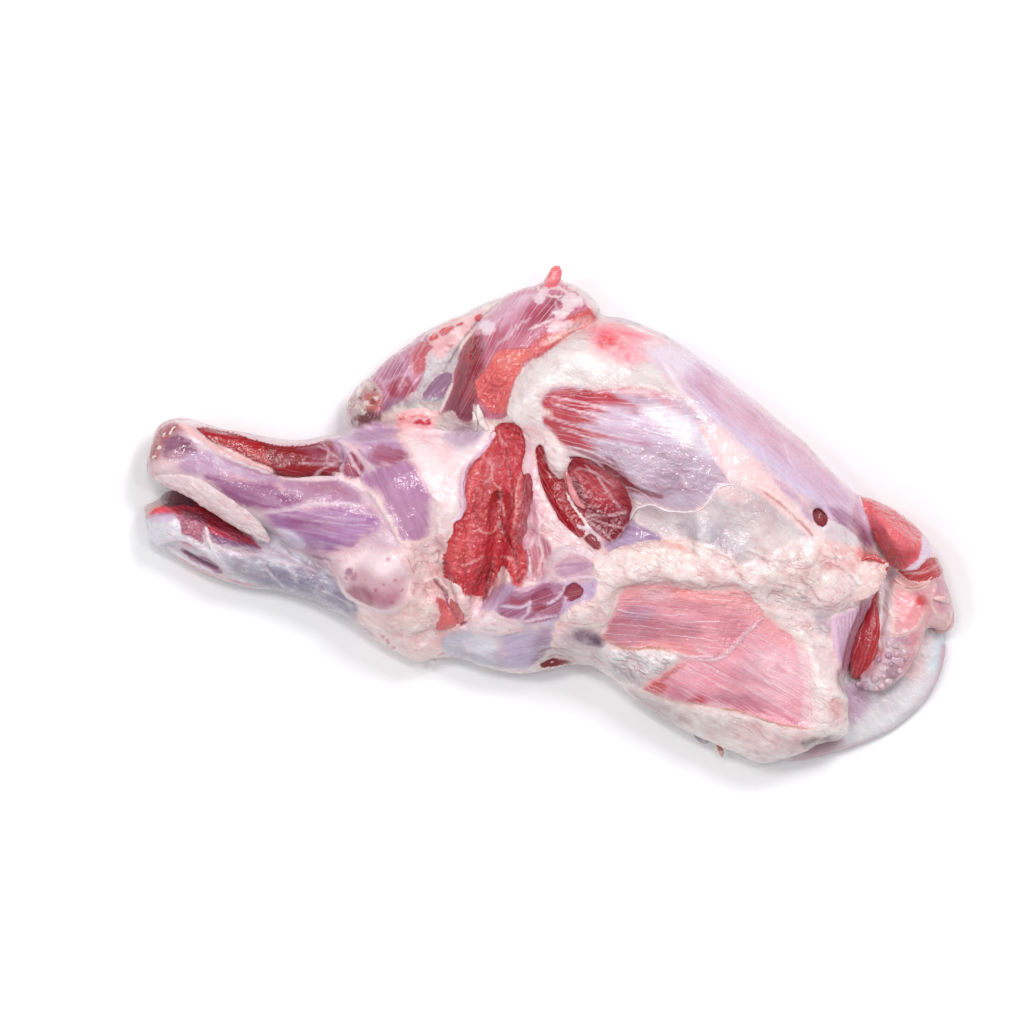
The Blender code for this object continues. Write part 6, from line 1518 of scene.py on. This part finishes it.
def shreds(ground, material):
    s = Shreds(ground)
    # red muscle deep in the crevice
    s.add([(162.6, -43.9, 0, 1.5, 2, 17), (161.6, -52.9, 0, 4.5, 4, 17), (159.1, -62.9, 0, 7.5, 5, 16),
        (156.1, -71.9, 0, 7, 5, 14), (152.6, -80.9, 0, 2.5, 3, 12)], (184, 44, 54), bare=True, sides=16)
    # strand across the hollow, and the skin's hem
    s.add([(8.6, 22.1, 0.2, 0.8, 0.8), (10.6, 15.1, 0.8, 1.6, 1.2), (13.6, 8.1, 0.8, 1.8, 1.2),
        (18.1, 4.1, 0.2, 0.8, 0.8)], (226, 150, 154), bare=True)
    s.add([(40.6, -1.9, 0, 0.4, 0.3), (44.1, 3.6, 0.1, 0.4, 0.3), (51.6, 5.6, 0.1, 0.4, 0.3),
        (59.6, 2.6, 0.1, 0.4, 0.3), (70.6, 2.1, 0.1, 0.4, 0.3), (77.1, 4.1, 0.1, 0.4, 0.3),
        (81.1, 9.6, 0.1, 0.4, 0.3), (85.6, 14.6, 0.1, 0.4, 0.3), (91.6, 15.6, 0.1, 0.4, 0.3),
        (95.6, 12.1, 0, 0.3, 0.3)], (244, 234, 238))
    # edge of the bone's skin, over the mouth between the two ends
    edge = [s.height(*spot, reach=0.8) for spot in ((-188.9, 22.1), (-178.4, 20.6), (-167.4, 15.6),
        (-157.4, 8.6), (-146.4, 1.6), (-138.9, -4.4))]
    s.add([(-198.4, 20.1, 0, 1.0, 0.6, edge[0] - 6.5), (-190.4, 18.1, 0, 3.8, 1.7, edge[0] - 4.2),
        (-180.9, 15.6, 0, 5.0, 2.1, edge[1] - 4.2), (-170.9, 10.6, 0, 6.0, 2.3, edge[2] - 5.0),
        (-160.4, 3.6, 0, 6.0, 2.3, edge[3] - 5.2), (-150.4, -3.4, 0, 5.4, 2.2, edge[4] - 6.9),
        (-143.9, -8.9, 0, 3.2, 1.6, edge[5] - 7.6), (-139.4, -12.9, 0, 1.0, 0.6, edge[5] - 11.5)],
        (228, 208, 211), sides=32, ragged=0.5, tilt=0.5)
    # tags where the flaps meet the shank
    s.add([(-35.4, 56.1, 0.2, 0.5, 0.4), (-34.9, 51.6, 0.8, 1.6, 0.7), (-33.4, 47.1, 0.8, 1.5, 0.6),
        (-30.9, 43.1, 0.2, 0.7, 0.4)], (240, 228, 224), ragged=0.5)
    s.add([(-38.4, 52.1, 0.2, 0.4, 0.4), (-36.9, 48.1, 0.5, 1.1, 0.6), (-36.4, 42.6, 0.2, 0.6, 0.4)],
        (236, 222, 216), ragged=0.5)
    # threads and nubs at the edges
    s.add([(81.1, -110.4, 0, 1.0, 0.8, 9), (83.6, -113.4, 0, 0.6, 0.6, 9), (85.1, -115.9, 0, 1.0, 1.0, 9),
        (86.1, -118.4, 0, 1.6, 1.6, 9), (86.1, -120.4, 0, 0.4, 0.4, 9)], (196, 138, 128), ragged=0.4)
    s.add([(72.6, -109.4, 0, 0.8, 0.4, 10), (76.6, -111.9, 0, 1.6, 0.5, 9), (80.1, -112.4, 0, 1.0, 0.4, 9),
        (82.6, -110.9, 0, 0.3, 0.3, 9)], (190, 190, 198), ragged=0.4)
    s.add([(-59.9, -66.4, 0, 0.7, 0.7, 13), (-58.4, -69.4, 0, 1.1, 1.0, 12),
        (-57.9, -72.4, 0, 1.3, 1.2, 12), (-58.4, -74.9, 0, 0.3, 0.3, 12)], (232, 230, 232))
    s.add([(192.6, -40.9, 0, 1.0, 1.0), (197.6, -41.9, 0.4, 1.8, 1.6), (200.6, -47.9, 0, 2.0, 1.8, 13),
        (199.6, -54.9, 0, 2.0, 1.8, 11), (194.6, -57.4, 0, 1.7, 1.5, 10), (193.1, -52.9, 0, 1.0, 1.0, 11)],
        (240, 200, 202))
    s.add([(197.6, -43.9, 0, 0.6, 0.6, 14), (198.1, -48.9, 0, 0.9, 0.8, 14),
        (196.1, -52.9, 0, 0.7, 0.6, 13)], (196, 118, 128))
    # bubbles of jelly
    for i, (x, y, r) in enumerate(((173.6, -64.4, 2.4), (177.6, -67.9, 1.8), (170.1, -69.4, 2.6),
            (175.1, -73.4, 2.2), (167.6, -75.9, 2.8), (172.1, -79.4, 1.8), (163.1, -80.9, 2.6),
            (166.6, -84.9, 1.8), (158.6, -84.4, 2.4), (179.1, -63.4, 1.4), (170.1, -63.9, 1.5),
            (165.1, -71.9, 1.6), (174.1, -68.9, 1.6), (169.6, -82.4, 1.8), (178.1, -71.9, 1.3),
            (154.6, -83.9, 1.7), (175.6, -77.4, 1.4), (171.1, -73.9, 1.6), (163.6, -85.9, 1.7),
            (167.6, -79.9, 1.4))):
        s.bead(x, y, r, ((206, 172, 184), (220, 196, 202), (188, 154, 172))[i % 3])
    for path in (((172.1, -30.9), (178.6, -35.4), (185.6, -34.9), (191.6, -30.4)),
            ((170.6, -58.9), (176.6, -58.9), (182.6, -55.9), (186.1, -49.9))):
        s.add([(x, y, 0, 0.4, 0.4) for x, y in path], (236, 196, 192))
    # chips at the tip of the bone
    for x, y, r in ((-188.4, 43.1, 1.5), (-194.9, 34.6, 1.3), (-197.4, 29.1, 1.0), (-191.9, 41.1, 0.9)):
        s.add([(x - r, y - r * 0.9, -0.3, r * 0.3, r * 0.3), (x - r * 0.2, y, 0, r * 0.6, r * 0.5),
            (x + r, y + r * 0.8, -0.3, r * 0.3, r * 0.3)], (236, 216, 210), ragged=0.9)
    # nub at the top of the neck
    top = s.height(2.1, 117.6)
    s.add([(-0.9, 112.1, 0, 1.4, 0.8, top - 1), (0.6, 115.6, 0, 2.6, 1.8, top),
        (2.6, 119.6, 0, 3.3, 2.3, top), (3.6, 122.6, 0, 3.1, 2.2, top), (4.1, 125.1, 0, 1.4, 1.1, top)],
        (238, 134, 142), sides=16, ragged=0.2)
    # pointed end of the fat tongue, over the top of the crevice
    ridge = s.height(156.6, -30.4)
    tip = max(ridge - 2.0, s.height(165.6, -25.4) + 0.3)
    s.add([(144.6, -36.9, 0, 6.0, 1.4, ridge - 4.5), (150.6, -34.9, 0, 9.0, 2.0, ridge - 3.2),
        (156.1, -31.9, 0, 10.0, 2.6, ridge - 2.5), (160.6, -29.4, 0, 8.6, 2.6, ridge - 2.0),
        (164.1, -27.4, 0, 6.0, 2.1, tip), (167.1, -25.4, 0, 3.2, 1.4, tip),
        (169.6, -23.9, 0, 0.8, 0.7, tip)], (240, 211, 208), sides=28, ragged=0.9)
    s.add([(156.6, -21.9, 0, 0.7, 0.6, ridge - 0.6), (160.6, -20.4, 0, 1.2, 0.8, ridge - 0.8),
        (164.6, -21.4, 0, 1.3, 0.8, tip + 1.2), (167.6, -23.4, 0, 1.1, 0.8, tip + 0.9),
        (169.1, -25.4, 0, 0.8, 0.7, tip + 0.3), (167.1, -28.9, 0, 0.9, 0.7, tip + 0.2),
        (165.6, -32.9, 0, 0.8, 0.6, tip - 0.8), (164.1, -37.9, 0, 0.4, 0.4, tip - 2.0)], (206, 74, 78),
        bare=True, ragged=0.4)
    s.finish("shreds", material)


# ---- floor, light and camera ----


def floor():
    mesh = bpy.data.meshes.new("floor")
    r = 3.0  # metres to each side
    mesh.from_pydata([(-r, -r, 0), (r, -r, 0), (r, r, 0), (-r, r, 0)], [], [(0, 1, 2, 3)])
    mesh.materials.append(floor_material())
    obj = bpy.data.objects.new("floor", mesh)
    bpy.context.scene.collection.objects.link(obj)
    obj.location.z = -0.4 * MILLIMETRE  # just under the flat underside, so that the two don't flicker


def lamp(name, place, size, power):
    """A square lamp that shines at the origin."""
    data = bpy.data.lights.new(name, "AREA")
    data.size = size
    data.energy = power
    obj = bpy.data.objects.new(name, data)
    obj.location = place
    obj.rotation_euler = (-Vector(place)).to_track_quat("-Z", "Y").to_euler()
    bpy.context.scene.collection.objects.link(obj)


def light():
    world = bpy.data.worlds.new("studio")
    world.use_nodes = True
    sky = world.node_tree.nodes["Background"].inputs
    sky["Color"].default_value = (0.97, 0.98, 1.0, 1.0)
    sky["Strength"].default_value = 0.4
    bpy.context.scene.world = world
    # name, place and size in metres, and power in watts
    for setting in (("key", (0.76, 1.04, 2.0), 0.6, 21.0), ("fill", (-0.9, -0.3, 1.2), 1.2, 4.5),
            ("glint_a", (-0.25, 0.55, 2.4), 0.34, 9.5), ("glint_b", (0.55, 0.2, 2.4), 0.24, 6.0),
            ("glint_c", (-0.8, 0.35, 1.9), 0.24, 4.0)):
        lamp(*setting)
    bpy.context.scene.view_settings.view_transform = "Standard"


def camera():
    data = bpy.data.cameras.new("camera")
    data.type = "ORTHO"
    data.ortho_scale = VIEW_WIDTH
    obj = bpy.data.objects.new("camera", data)
    obj.location = (*VIEW_CENTRE, CAMERA_HEIGHT)
    bpy.context.scene.collection.objects.link(obj)
    bpy.context.scene.camera = obj


camera()
light()
floor()
flesh_points, flesh_material = meat()
shreds(np.vstack([flesh_points, cartilage()]), flesh_material)
